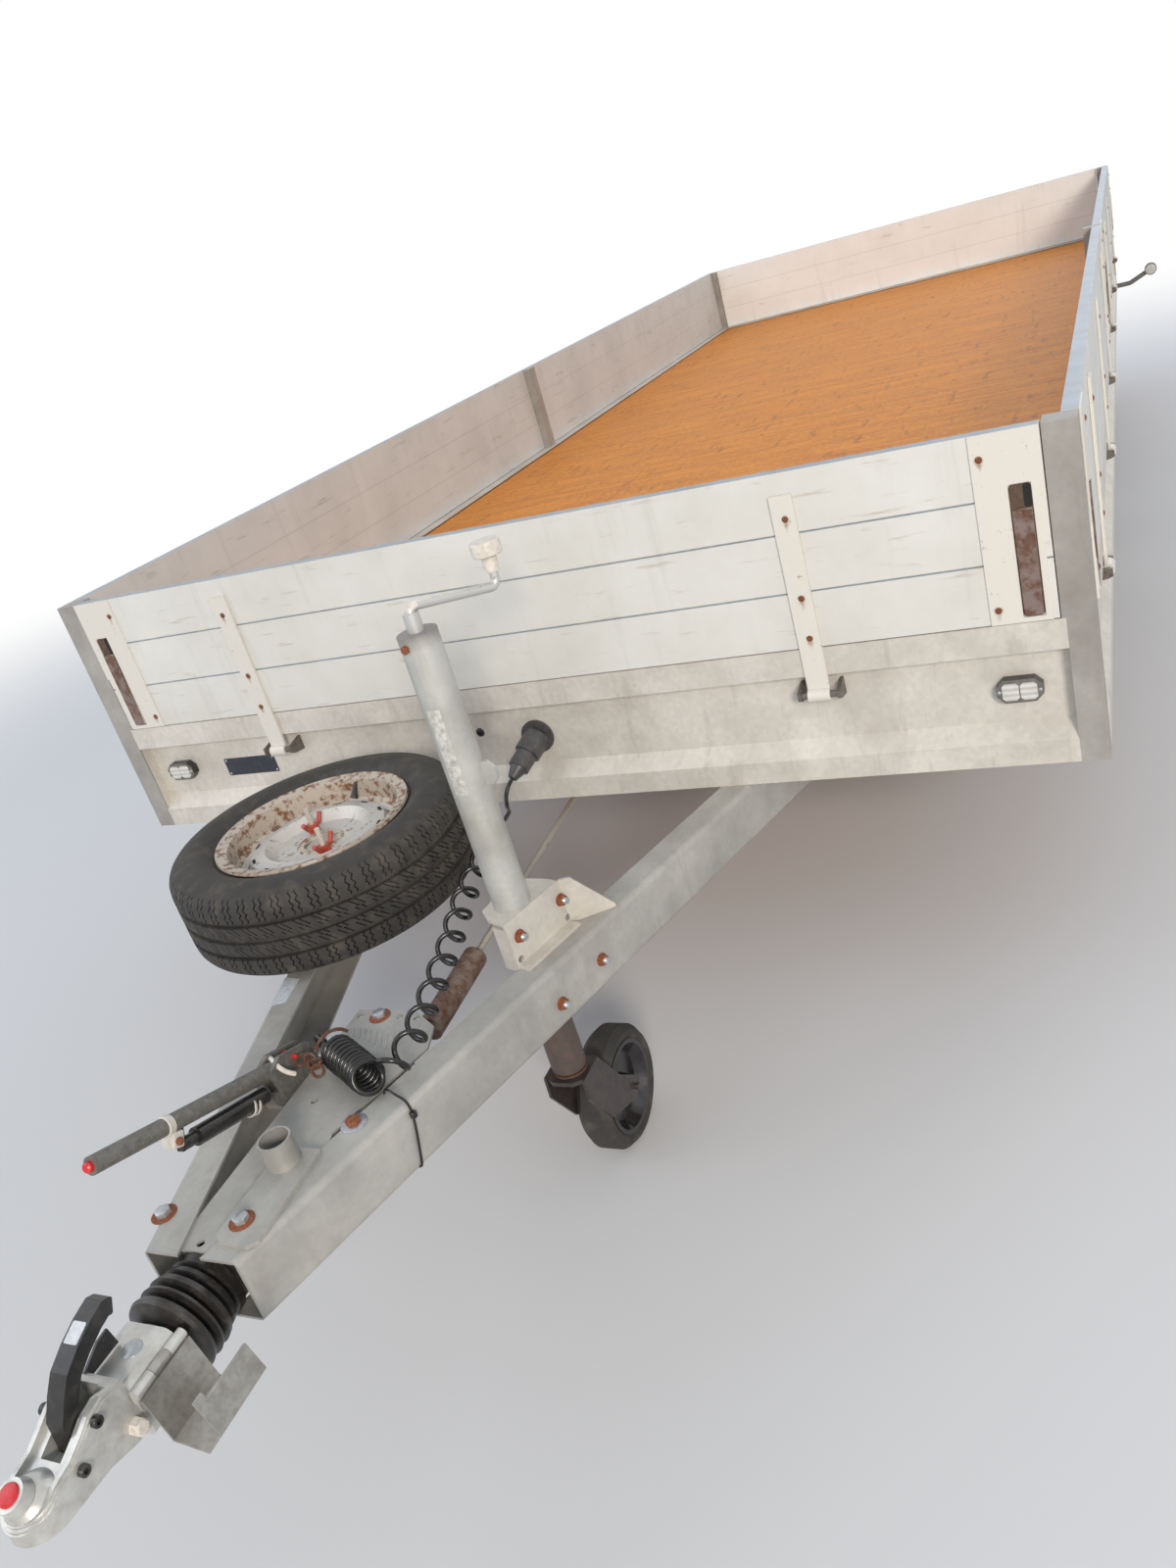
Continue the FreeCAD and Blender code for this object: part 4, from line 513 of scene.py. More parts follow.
boot_rubber = skin("dusty_moulded_rubber", "1F1D1C", "2A2725", "574E45", 18, 0, (0.35, 0.6), 4, 0.1)
black_plastic = skin("black_moulded_plastic", "1B1B1C", "2B2A29", "55514A", 30, 0, (0.35, 0.6), 2, 0.08)
plug_plastic = skin("greyed_black_plastic", "3A3A3C", "4A4949", "6E6660", 14, 0, (0.4, 0.65), 2, 0.08)
lamp_housing = skin("faded_lamp_housing", "5E5C58", "6E6B66", "8A857C", 16, 0, (0.5, 0.7), 2, 0.06)
plate_coat = skin("dark_blue_black_plate", "262A32", "2E333C", "4C4E52", 20, 0.1, (0.3, 0.5), 2, 0.02)
# Painted shade: dark brown for the shaded bottom of the latch slots
recess_painted_shade = skin("brown_painted_recess_shade", "5A4436", "4A382E", "7A6450", 8, 0, (0.7, 0.9), 2, 0.1)
# Painted shade: near black for the slot gaps, the spare's middle hole and its vent windows
deep_shadow = skin("black_painted_deep_shade", "121110", "1A1817", "2A2622", 8, 0, (0.8, 0.95), 2, 0.05)
cord_pvc = skin("black_pvc_cord", "131314", "1C1C1D", "3A3834", 30, 0, (0.22, 0.4), 2, 0.03)
knob_nylon = skin("off_white_nylon", "E2DCD2", "CFC7BA", "9D8A72", 14, 0, (0.4, 0.6), 3, 0.15)
red_plastic = skin("orange_red_plastic", "B8452F", "9A3A2B", "A08A7A", 12, 0, (0.4, 0.6), 2, 0.08)
button_red = skin("bright_red_plastic", "D3252C", "C41F27", "B0736A", 9, 0, (0.3, 0.5), 2, 0.04)
label_vinyl = skin("white_vinyl_label", "DADDE0", "C6CACD", "8E9BA3", 9, 0, (0.45, 0.6), 1.5, 0.03)
print("finishes", len(bpy.data.materials))

# %% [markdown]
# ## A stain that fades out
#
# Rust that has run from a rivet has no edge: it fades into the paint. The stain is a thin patch
# over the paint whose middle is opaque and whose rim is clear. The distance from its middle comes
# from an attribute that the mesh carries, and noise breaks it up.

# %% Rust stain
rust_stain, tree, shader, place = start_material("rust_run_stain")
reach = add(tree, "ShaderNodeAttribute", {}, attribute_name="reach").outputs["Fac"]
browned = patched(tree, place, colour("B07A4C"), colour("8A5A36"), 6, 0.45, 1, 0.15)[0]
tree.links.new(browned, shader.inputs["Base Color"])
broken = add(tree, "ShaderNodeTexNoise", {"Vector": place, "Scale": 1000 / 7, "Detail": 5}).outputs[0]
uneven = add(tree, "ShaderNodeMath", {0: broken, 1: reach}, operation="SUBTRACT").outputs[0]
opaque = add(tree, "ShaderNodeMapRange", {"Value": uneven, "From Min": -0.35, "From Max": 0.45,
                                          "To Max": 0.55})
tree.links.new(opaque.outputs[0], shader.inputs["Alpha"])
shader.inputs["Roughness"].default_value = 0.85
print("stain", rust_stain.name)

# %% [markdown]
# ## Which part gets which finish
#
# A table by name, then one by kind, with the frame's steel for the rest. A node takes its finish as
# a material of its mesh, and the lead takes its own.

# %% Give every CAD node its finish
FINISH = {
    "floor_panel": floor_wood, "drawbar_beams": beam_steel, "overrun_housing": beam_steel,
    "stub_socket": beam_steel, "jack_bracket": frame_steel, "coupling_head": cast_zinc,
    "coupling_handle": black_plastic, "lock_flap": flap_steel, "drawbar_boot": boot_rubber,
    "draw_tube": bright_zinc, "handbrake_lever": lever_steel, "gas_spring": black_paint,
    "brake_rod": can_steel, "jack_tube": tube_steel, "jack_slider": rust_and_painted_shade, "jack_fork": fork_paint,
    "jack_crank": bright_zinc, "spare_carrier": frame_steel, "spare_wing_nuts": red_plastic,
    "jack_wheel_rim": jack_rim_steel, "board_posts": post_steel_painted_shade, "corner_columns": post_steel_painted_shade,
    "lamps": black_plastic, "side_markers": lamp_housing, "plug_holder": plug_plastic,
    "plug": plug_plastic, "cable_lead": cord_pvc, "cable_coil": cord_pvc,
    "cable_bunch": cord_pvc, "hinge_pins": pin_steel, "axles": frame_steel,
}


FINISH_BY_ENDING = {"_tyre": tyre_rubber, "_rim": wheel_paint, "_board": outer_coat,
                    "_fittings": strap_paint}


def finish_of(name):
    """A node's own finish, or that of its kind, or else the frame's steel."""
    kinds = [finish for ending, finish in FINISH_BY_ENDING.items() if name.endswith(ending)]
    return FINISH.get(name, (kinds + [frame_steel])[0])


for name, item in NODES.items():
    item.data.materials.clear()
    item.data.materials.append(finish_of(name))
lead_cord.data.materials.append(cord_pvc)
print("finished nodes", len(NODES))

# %% [markdown]
# The boards take three finishes: faces that look outwards are off-white, those that look into the
# bed have the inner coat, or on the rear board a paler copy of it that is painted light, and the top
# edge has lost its paint down to the zinc, whose bluish tone is painted sky light on upward faces.
# Boards come up again below, so each one's ways and measures come from one function, which reads
# the board's box.

# %% Coats by the way a face looks
OUTWARD = {"front": Vector((1, 0, 0)), "rear": Vector((-1, 0, 0)), "left": Vector((0, 1, 0)),
           "right": Vector((0, -1, 0))}
# Hinge straps of each board
BOARD_STRAPS = {"front": 2, "rear": 2, "left_front": 3, "left_rear": 3, "right_front": 3, "right_rear": 3}


def board_measures(board):
    """The ways out of a board and along it, half its length, and the ground under its face's middle."""
    out = OUTWARD[board.split("_")[0]]
    along = Vector((abs(out.y), abs(out.x), 0))
    low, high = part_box(board + "_board")
    origin = out * max(low.dot(out), high.dot(out)) + along * ((low + high) / 2).dot(along)
    return out, along, (high - low).dot(along) / 2, origin


for board in BOARD_STRAPS:
    data = NODES[board + "_board"].data
    # The rear board's inner coat is a paler copy, which is painted light
    data.materials.append(painted_lit_rear_coat if board == "rear" else inner_coat)
    data.materials.append(zinc_edge_painted_sky)
    out = board_measures(board)[0]
    for face in data.polygons:
        if face.normal.dot(out) < -0.5:
            face.material_index = 1
        # Upward faces take the top edge's zinc, whose bluish tone is painted sky light
        elif face.normal.z > 0.7:
            face.material_index = 2
print("coated boards", len(BOARD_STRAPS))

# %% [markdown]
# ## Parts in two finishes
#
# The brake rod is a brown can ahead and a pale rod behind, the jack's crank ends in a nylon knob,
# and the spare wheel's outer flange has rusted while its disc is still painted. Their faces are
# told apart by place.

# %% Second finishes by place
CAN_END = BED_FRONT + 0.445
KNOB_FOOT = 1.075
SPARE_AXIS = bed(341, -272, 0)
FLANGE_FROM = 0.150
for name, second, chosen in [
        ("brake_rod", rod_zinc, lambda centre: centre.x < CAN_END),
        ("jack_crank", knob_nylon, lambda centre: centre.z > KNOB_FOOT),
        ("spare_rim", flange_rust, lambda centre: (centre - SPARE_AXIS).xy.length > FLANGE_FROM)]:
    item = NODES[name]
    item.data.materials.append(second)
    for face in item.data.polygons:
        if chosen(face.center):
            face.material_index = 1
print("second finishes", rod_zinc.name, knob_nylon.name, flange_rust.name)

# %% [markdown]
# ## The latch levers' own finish
#
# A latch lever is part of its board's fittings, so its faces are found by place: they lie between
# 20.5 and 50.5 mm from the board's end, above its lower edge, and stand proud of its face.

# %% Rusted latch levers
LEVER_FROM_END = (0.0205, 0.0505)
LEVER_HEIGHT = (0.765, 0.94)
LEVER_PROUD = 0.0032
for board in BOARD_STRAPS:
    data = NODES[board + "_board_fittings"].data
    data.materials.append(latch_steel)
    out, along, half, origin = board_measures(board)
    for face in data.polygons:
        from_end = half - abs((face.center - origin).dot(along))
        is_proud = (face.center - origin).dot(out) > LEVER_PROUD
        at_end = LEVER_FROM_END[0] < from_end < LEVER_FROM_END[1]
        if is_proud and at_end and LEVER_HEIGHT[0] < face.center.z < LEVER_HEIGHT[1]:
            face.material_index = 1
print("latches finished")

# %% [markdown]
# ## Floor and light
#
# A plain pale floor that fades, far from the trailer, to the white that the camera sees behind it.
# Only the camera sees the fade, so the floor still reflects and shades as one plain surface.

# %% Floor, in metres
FLOOR_HALF = 60
FADE_FROM = 3.2
FADE_TO = 7.5
floor_mesh = bpy.data.meshes.new("studio_floor")
floor_corners = [(x * FLOOR_HALF, y * FLOOR_HALF, 0) for x, y in ((-1, -1), (1, -1), (1, 1), (-1, 1))]
floor_mesh.from_pydata(floor_corners, [], [(0, 1, 2, 3)])
floor = bpy.data.objects.new("studio_floor", floor_mesh)
bpy.context.scene.collection.objects.link(floor)
floor_paint, tree, shader, place = start_material("studio_floor_paint")
shader.inputs["Base Color"].default_value = colour("DDDCDA")
shader.inputs["Roughness"].default_value = 0.9
path = add(tree, "ShaderNodeLightPath")
distance = add(tree, "ShaderNodeVectorMath", {0: place}, operation="LENGTH").outputs["Value"]
far = add(tree, "ShaderNodeMapRange", {"Value": distance, "From Min": FADE_FROM, "From Max": FADE_TO},
          interpolation_type="SMOOTHSTEP").outputs[0]
seen_far = add(tree, "ShaderNodeMath", {0: far, 1: path.outputs["Is Camera Ray"]},
               operation="MULTIPLY").outputs[0]
white = add(tree, "ShaderNodeEmission", {"Color": (1, 1, 1, 1), "Strength": 1.0}).outputs[0]
both = add(tree, "ShaderNodeMixShader", {0: seen_far, 1: shader.outputs[0], 2: white}).outputs[0]
tree.links.new(both, tree.nodes["Material Output"].inputs[0])
floor_mesh.materials.append(floor_paint)
print("floor fades from", FADE_FROM, "to", FADE_TO, "metres")

# %% [markdown]
# The sun of the photograph stood low ahead and to the left, so the key lamp stands there, a little
# warm, and the world fills in a little cool. That makes the beams' tops bluish and their sides
# beige, as they are outdoors. The world itself looks white to the camera and in mirrors and glass.

# %% Lamps and world
# Lamps: name, place, aimed at, width in metres, power in watts, colour
LAMPS = [
    ("key", (12.5, 6.6, 5.6), (0, 0, 0.5), 3.0, 1250, "FFF4E8"),
    ("fill", (4.5, -6.5, 6.0), (0, 0, 0.5), 6.0, 160, "EAF1FF"),
    ("back", (-8.0, 3.0, 6.0), (0, 0, 0.8), 6.0, 200, "F4F6FF"),
]
for name, place, aim, width, power, tint in LAMPS:
    data = bpy.data.lights.new(name, "AREA")
    data.size = width
    data.energy = power
    data.color = colour(tint)[:3]
    lamp = bpy.data.objects.new(name, data)
    lamp.location = place
    lamp.rotation_euler = (Vector(aim) - Vector(place)).to_track_quat("-Z", "Y").to_euler()
    bpy.context.scene.collection.objects.link(lamp)

world = bpy.data.worlds.new("studio")
bpy.context.scene.world = world
world.use_nodes = True
tree = world.node_tree
tree.nodes.clear()
path = add(tree, "ShaderNodeLightPath")
seen = add(tree, "ShaderNodeMath", {0: path.outputs["Is Camera Ray"], 1: path.outputs["Is Glossy Ray"]},
           operation="MAXIMUM")
seen = add(tree, "ShaderNodeMath", {0: seen.outputs[0], 1: path.outputs["Is Transmission Ray"]},
           operation="MAXIMUM")
dim = add(tree, "ShaderNodeBackground", {0: colour("DCE8F8"), 1: 0.62})
white = add(tree, "ShaderNodeBackground", {0: (1, 1, 1, 1), 1: 1.0})
both = add(tree, "ShaderNodeMixShader", {0: seen.outputs[0], 1: dim.outputs[0], 2: white.outputs[0]})
add(tree, "ShaderNodeOutputWorld", {0: both.outputs[0]})
print("lamps", [row[0] for row in LAMPS])

# %% [markdown]
# ## Small helpers for pieces
#
# Most of what is added is small and hard: bolts, lenses, plates. Helpers cover them: one sets up a
# matrix that looks out of a surface, one turns a profile on a lathe, and one makes a slab from an
# outline with its edges bevelled. A finished piece keeps its place in its mesh. Most pieces ride on
# the chassis, so that is what a piece does unless it is told otherwise.


# %% Places and outlines
def looking(origin, out, up=(0, 0, 1)):
    """A matrix whose Z looks out of a surface and whose Y is as near to up as it can be."""
    z = Vector(out).normalized()
    x = Vector(up).cross(z).normalized()
    y = z.cross(x)
    return Matrix.Translation(origin) @ Matrix((x, y, z)).transposed().to_4x4()


def rectangle(width, height):
    """A rectangle's outline about the middle, in millimetres."""
    right, top = width / 2, height / 2
    return [(-right, -top), (right, -top), (right, top), (-right, top)]


def rounded(width, height, radius, steps=5):
    """A rectangle's outline with round corners, about the middle, in millimetres."""
    outline = []
    for i, (sx, sy) in enumerate([(1, 1), (-1, 1), (-1, -1), (1, -1)]):
        for step in range(steps + 1):
            angle = math.pi / 2 * (i + step / steps)
            outline.append((sx * (width / 2 - radius) + radius * math.cos(angle),
                            sy * (height / 2 - radius) + radius * math.sin(angle)))
    return outline


STILL = Matrix()
UP = Vector((0, 0, 1))
AHEAD = Vector((1, 0, 0))
LEFT = Vector((0, 1, 0))
print("round corners from", len(rounded(9, 11, 2)), "points")

# %% [markdown]
# A lathe turns a profile into rings of points and closes the gaps between neighbours. A ring whose
# radius is nothing is one point, and the faces that meet it have three corners. A slab is one face
# that is pulled up, and only the edges of its top are bevelled, since its bottom lies on something.


# %% Lathe and slab
def ring_faces(mesh, rings, steps):
    """Faces between each two rings of points. A ring may also be a single point."""
    for low, high in zip(rings, rings[1:]):
        for i in range(steps):
            corners = [low[i % len(low)], low[(i + 1) % len(low)],
                       high[(i + 1) % len(high)], high[i % len(high)]]
            corners = list(dict.fromkeys(corners))
            if len(corners) > 2:
                mesh.faces.new(corners)


def lathe(profile, steps):
    """A closed mesh turned about Z from (radius, height) pairs in millimetres."""
    mesh = bmesh.new()
    turned = [2 * math.pi * i / steps for i in range(steps)]
    rings = [[mesh.verts.new((radius * MM * math.cos(angle), radius * MM * math.sin(angle), height * MM))
              for angle in (turned if radius else [0])] for radius, height in profile]
    ring_faces(mesh, rings, steps)
    bmesh.ops.recalc_face_normals(mesh, faces=mesh.faces)
    return mesh


def slab(outline, thick, bevel=0.0, steps=2):
    """A closed slab on the XY plane from an outline in millimetres, its top edge bevelled."""
    mesh = bmesh.new()
    base = mesh.faces.new([mesh.verts.new((x * MM, y * MM, 0)) for x, y in outline])
    bmesh.ops.recalc_face_normals(mesh, faces=mesh.faces)
    if base.normal.z < 0:
        base.normal_flip()
    raised = bmesh.ops.extrude_face_region(mesh, geom=[base])
    top = [item for item in raised["geom"] if isinstance(item, bmesh.types.BMVert)]
    bmesh.ops.translate(mesh, verts=top, vec=(0, 0, thick * MM))
    bmesh.ops.recalc_face_normals(mesh, faces=mesh.faces)
    if bevel:
        edges = [e for e in mesh.edges if all(v.co.z > thick * MM * 0.5 for v in e.verts)]
        bmesh.ops.bevel(mesh, geom=edges, offset=bevel * MM, segments=steps, affect="EDGES", profile=0.6)
    return mesh


print("a slab has", len(slab(rectangle(10, 10), 1).faces), "faces")

# %% [markdown]
# A piece is joined from parts that each have a place, and it is shaded smooth but for edges sharper
# than 35 degrees.

# %% Finished pieces
SHARP_FROM = 35


def joined(name, parts):
    """One smooth mesh from (mesh, matrix) parts."""
    whole = bmesh.new()
    for mesh, place in parts:
        flat = bpy.data.meshes.new("part")
        mesh.to_mesh(flat)
        flat.transform(place)
        whole.from_mesh(flat)
        bpy.data.meshes.remove(flat)
    data = bpy.data.meshes.new(name)
    whole.to_mesh(data)
    whole.free()
    data.shade_smooth()
    return data


def riding(item, body, sharp=SHARP_FROM):
    """Keeps a piece's sharp edges, and says which body it rides on."""
    item.data.set_sharp_from_angle(angle=math.radians(sharp))
    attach(item, body)
    return item


def finished(name, parts, finish, body="chassis"):
    """One piece from (mesh, matrix) parts, placed, joined and riding on a body."""
    item = bpy.data.objects.new(name, joined(name, parts))
    item.data.materials.append(finish)
    bpy.context.scene.collection.objects.link(item)
    return riding(item, body)


def single(name, mesh, place, finish, body="chassis"):
    """A finished piece of one part."""
    return finished(name, [(mesh, place)], finish, body)


print("edges stay sharp from", SHARP_FROM, "degrees")

# %% [markdown]
# ## Rivets, bolts and rust marks by Geometry Nodes
#
# The trailer carries more than a hundred fasteners. On the real one they are the same few kinds,
# driven by hand, so each stands at its own turn. A small node tree does this: it takes the
# places as loose points with a direction each, stands a head on every point, turns it by a random
# angle from a fixed seed, and makes the result real geometry with one finish.


# %% The fastener tree
def start_tree(name, output, inputs):
    """A tree with one output and these inputs, each a name, a kind and a value to start with."""
    tree = bpy.data.node_groups.new(name, "GeometryNodeTree")
    for label, kind, start in inputs:
        socket = tree.interface.new_socket(label, in_out="INPUT", socket_type="NodeSocket" + kind)
        if start is not None:
            socket.default_value = start
    tree.interface.new_socket(output, in_out="OUTPUT", socket_type="NodeSocketGeometry")
    return tree, add(tree, "NodeGroupInput").outputs


def fastener_tree():
    """Stands a head on each point along its direction, at a random turn."""
    tree, given = start_tree("heads_on_points", "Heads", [
        ("Points", "Geometry", None), ("Head", "Object", None), ("Size", "Float", 1),
        ("Turn", "Float", 1), ("Seed", "Int", 7), ("Finish", "Material", None)])
    head = add(tree, "GeometryNodeObjectInfo", {"Object": given["Head"]})
    facing = add(tree, "GeometryNodeInputNamedAttribute", {"Name": "facing"}, data_type="FLOAT_VECTOR")
    outward = add(tree, "FunctionNodeAlignRotationToVector", {"Vector": facing.outputs[0]}, axis="Z")
    upright = add(tree, "FunctionNodeAlignRotationToVector",
                  {"Rotation": outward.outputs[0], "Vector": (0, 0, 1)}, axis="Y", pivot_axis="Z")
    chance = add(tree, "FunctionNodeRandomValue", {3: 2 * math.pi, "Seed": given["Seed"]},
                 data_type="FLOAT")
    angle = add(tree, "ShaderNodeMath", {0: chance.outputs[1], 1: given["Turn"]}, operation="MULTIPLY")
    about = add(tree, "FunctionNodeAxisAngleToRotation", {"Axis": (0, 0, 1), "Angle": angle.outputs[0]})
    turned_way = add(tree, "FunctionNodeRotateRotation",
                     {"Rotation": upright.outputs[0], "Rotate By": about.outputs[0]},
                     rotation_space="LOCAL")
    stood = add(tree, "GeometryNodeInstanceOnPoints",
                {"Points": given["Points"], "Instance": head.outputs["Geometry"],
                 "Rotation": turned_way.outputs[0], "Scale": given["Size"]})
    real = add(tree, "GeometryNodeRealizeInstances", {0: stood.outputs[0]})
    dressed = add(tree, "GeometryNodeSetMaterial", {"Geometry": real.outputs[0],
                                                    "Material": given["Finish"]})
    add(tree, "NodeGroupOutput", {0: dressed.outputs[0]})
    return tree


HEADS_TREE = fastener_tree()
print("fastener nodes", len(HEADS_TREE.nodes))

# %% [markdown]
# A tree is used through a modifier, whose inputs are set by the names that the tree gives them.
# The result is read back as a plain mesh, so that the piece doesn't depend on its patterns.


# %% Pieces made by a tree
def grown(name, points, tree, body, slot, place=STILL, sharp=SHARP_FROM, **inputs):
    """One piece that a node tree makes from a mesh of points, placed and riding on a body."""
    holder = bpy.data.objects.new(name, points)
    bpy.context.scene.collection.objects.link(holder)
    modifier = holder.modifiers.new("tree", "NODES")
    modifier.node_group = tree
    for socket in tree.interface.items_tree:
        if socket.in_out == "INPUT" and socket.name in inputs:
            modifier[socket.identifier] = inputs[socket.name]
    ready = holder.evaluated_get(bpy.context.evaluated_depsgraph_get())
    data = bpy.data.meshes.new_from_object(ready)
    holder.modifiers.remove(modifier)
    holder.data = data
    bpy.data.meshes.remove(points)
    data.transform(place)
    data.name = name
    return riding(holder, body, sharp)


def stand_heads(name, head, places, finish, size=1.0, turn=1.0, seed=7, body="chassis", slot="zinc_steel"):
    """One piece with a head at each (place, direction), all on one body."""
    points = bpy.data.meshes.new(name)
    points.from_pydata([tuple(place) for place, way in places], [], [])
    facing = points.attributes.new("facing", "FLOAT_VECTOR", "POINT")
    for i, (place, way) in enumerate(places):
        facing.data[i].vector = tuple(way)
    return grown(name, points, HEADS_TREE, body, slot, Head=head, Size=size, Turn=turn, Seed=seed,
                 Finish=finish)


def head_object(name, *meshes):
    """A hidden pattern for the tree: the shape of one head at the origin."""
    return bpy.data.objects.new(name, joined(name, [(mesh, STILL) for mesh in meshes]))


# The stain's rings, each a share of its radius in millimetres, and how much further it runs down
STAIN_RINGS = (0, 0.35, 0.7, 1)
STAIN_RADIUS = 9
STAIN_STEPS = 24
STAIN_RUNS = 1.7


def stain_head():
    """A thin patch drawn out downwards, with how far each point is from its middle."""
    mesh = bmesh.new()
    rings = []
    for share in STAIN_RINGS:
        ring = []
        for step in range(STAIN_STEPS if share else 1):
            angle = 2 * math.pi * step / STAIN_STEPS
            fall = 1 + STAIN_RUNS * max(0, -math.cos(angle)) ** 3
            across = STAIN_RADIUS * MM * share
            ring.append(mesh.verts.new((across * math.sin(angle), across * fall * math.cos(angle), 0)))
        rings.append(ring)
    ring_faces(mesh, rings[::-1], STAIN_STEPS)
    data = bpy.data.meshes.new("stain")
    mesh.to_mesh(data)
    mesh.free()
    reach = data.attributes.new("reach", "FLOAT", "POINT")
    for i in range(len(data.vertices)):
        reach.data[i].value = STAIN_RINGS[math.ceil(i / STAIN_STEPS)]
    return bpy.data.objects.new("stain", data)


STAIN = stain_head()
print("stain corners", len(STAIN.data.vertices))

# %% [markdown]
# The heads are turned from profiles of real sizes: a domed rivet about 11 mm across, a bolt head
# about 19 mm across its flats with a washer, a nut with its thread end, and the conical nut of a
# wheel. Six steps on the lathe make a hexagon.

# %% Patterns of the heads
HEX = [(0, 9.6), (8.6, 9.6), (10.9, 8.5), (10.9, 0), (0, 0)]
THREAD = [(0, 18)] + [(5.9 - 0.8 * (i % 2), 17.4 - 0.75 * i) for i in range(14)] + [(0, 6.9)]
NUT_CONE = [(0, 17), (7.4, 17), (9.6, 15.5), (9.8, 5), (12, 2), (10, -4), (0, -4)]
RIVET = head_object("rivet", lathe([(0, 2.6), (2.2, 2.3), (4.2, 1.4), (5.4, 0.3), (5.4, 0), (0, 0)], 16))
BOLT = head_object("hex_bolt", lathe(HEX, 6))
WASHER = head_object("washer", lathe([(0, 1.8), (16, 1.8), (17.2, 1.2), (17.2, 0), (0, 0)], 28))
NUT = head_object("hex_nut", lathe(HEX, 6), lathe([(0, 1.6), (12.5, 1.6), (13, 0), (0, 0)], 24))
THREAD_END = head_object("thread_end", lathe(THREAD, 16))
WHEEL_NUT = head_object("wheel_nut", lathe(NUT_CONE, 6),
                        lathe([(0, 20), (5, 20), (6, 19), (6, 15), (0, 15)], 12))
print("head patterns", [head.name for head in (RIVET, STAIN, BOLT, WASHER, NUT, THREAD_END, WHEEL_NUT)])

# %% [markdown]
# ## Rivets of the boards
#
# Three rivets hold each hinge strap and two hold each end cap. They have rusted, and the rust has
# run down the paint a little, so a thin stain lies under each head. The places are worked out
# from each board's own measures, so that both follow the board.

# %% Stand the rivets on straps and end caps
STRAP_FROM_END = 388 * MM
STRAP_RIVETS = [981 * MM, 846 * MM, 775 * MM]
CAP_RIVETS = [1019 * MM, 781 * MM]
CAP_RIVET_FROM_END = 87 * MM
STRAP_FACE = 6.0 * MM
CAP_FACE = 3.0 * MM
STAIN_LIFT = 0.0004
for board, straps in BOARD_STRAPS.items():
    out, along, half, origin = board_measures(board)
    spots = [-half + STRAP_FROM_END, half - STRAP_FROM_END] + ([0] if straps == 3 else [])
    rows = [(origin + along * spot + out * STRAP_FACE, z) for spot in spots for z in STRAP_RIVETS]
    rows += [(origin + along * side * (half - CAP_RIVET_FROM_END) + out * CAP_FACE, z)
             for side in (-1, 1) for z in CAP_RIVETS]
    places = [(Vector((at.x, at.y, z)), out) for at, z in rows]
    lifted = [(at + way * STAIN_LIFT, way) for at, way in places]
    unit = board + "_board_unit"
    stand_heads(board + "_stains", STAIN, lifted, rust_stain, turn=0.0, body=unit, slot="coated_board")
    stand_heads(board + "_rivets", RIVET, places, rivet_steel, body=unit)
print("rivets on", len(BOARD_STRAPS), "boards")

# %% [markdown]
# ## Bolts of the drawbar
#
# The overrun housing, the stub plate and the jack's bracket are bolted to the beams. Some heads
# and washers are still bluish zinc and some have gone brown, so each kind makes two pieces. The
# nuts are rusty, and the ends of the bolts stand out of them as bare threads.

# %% Bolts and nuts on the drawbar
BEAM_OUT = Vector((0.297, 0.955, 0))
BEAM_OUT_RIGHT = Vector((0.297, -0.955, 0))
bolts = [(bed(x, y, z), UP) for x, y, z in ((1074, 46, 512), (1074, -88, 506), (667, 4, 502))]
outer_bolt = [(bed(894, 101, 506), UP)]
nuts = [(bed(435.7, 234.6, 554), BEAM_OUT), (bed(532.6, 204.5, 553.6), BEAM_OUT),
        (bed(457, 285.6, 453), BEAM_OUT), (bed(557, 254.5, 444), BEAM_OUT),
        (bed(1000, -116.5, 456), BEAM_OUT_RIGHT), (bed(740, -197.5, 456), BEAM_OUT_RIGHT)]
for name, head, places, finish, size, seed in [
        ("rusty_washers", WASHER, bolts, rust_steel, 1.0, 3),
        ("zinc_washers", WASHER, outer_bolt, nut_zinc, 1.1, 4),
        ("zinc_bolt_heads", BOLT, bolts, nut_zinc, 1.0, 5),
        ("rusty_bolt_heads", BOLT, outer_bolt, rust_steel, 1.0, 6),
        ("rusty_drawbar_nuts", NUT, nuts, rust_steel, 0.85, 9),
        ("thread_ends", THREAD_END, nuts, nut_zinc, 0.85, 9)]:
    stand_heads(name, head, places, finish, size, seed=seed)
print("drawbar fasteners", len(bolts + outer_bolt + nuts))

# %% [markdown]
# ## Tyre tread
#
# A tread is one short pattern that repeats round the tyre: three grooves run right round, the
# shoulder ribs have wavy cuts in pairs and the middle ribs have long slanting ones. Here one pitch
# of it is a grid whose rows cross the tyre and whose columns are shifted row by row to follow the
# cuts. A node tree stands 54 copies round the axle and joins them into one tyre.

# %% One pitch of the tread, in millimetres
PITCHES = 54
TYRE_RADIUS = 270
# Side of the tyre from the bead to the shoulder: radius, distance from the middle
SIDEWALL = [(164.4, 58), (168, 62), (176, 67.5), (181, 68), (186, 72), (198, 79.5), (212, 84.2),
            (226, 84.6), (240, 82), (250, 78.6), (254, 77.6)]
# Rows of the tread: radius, distance from the middle, shift of the cuts along the tyre, their depth
TREAD = [(257.0, 75.5, 4.2, 0.75), (261.0, 72.0, 1.2, 3.75), (264.8, 66.5, 5.0, 6), (267.8, 60, 0.6, 6),
         (269.0, 53, 5.4, 6), (269.6, 46.5, 0.8, 6), (269.8, 41, 4.6, 6), (269.9, 36.2, 2.0, 6),
         (261.8, 35.4, 0, 0), (261.8, 27.6, 0, 0), (270, 26.8, -6, 6), (270, 20, 1.0, 6),
         (270, 13, 8.0, 6), (270, 12, 0.0, 6), (270, 8.5, 3.5, 6), (270, 5.2, 7.0, 6), (263.5, 4.4, 0, 0)]
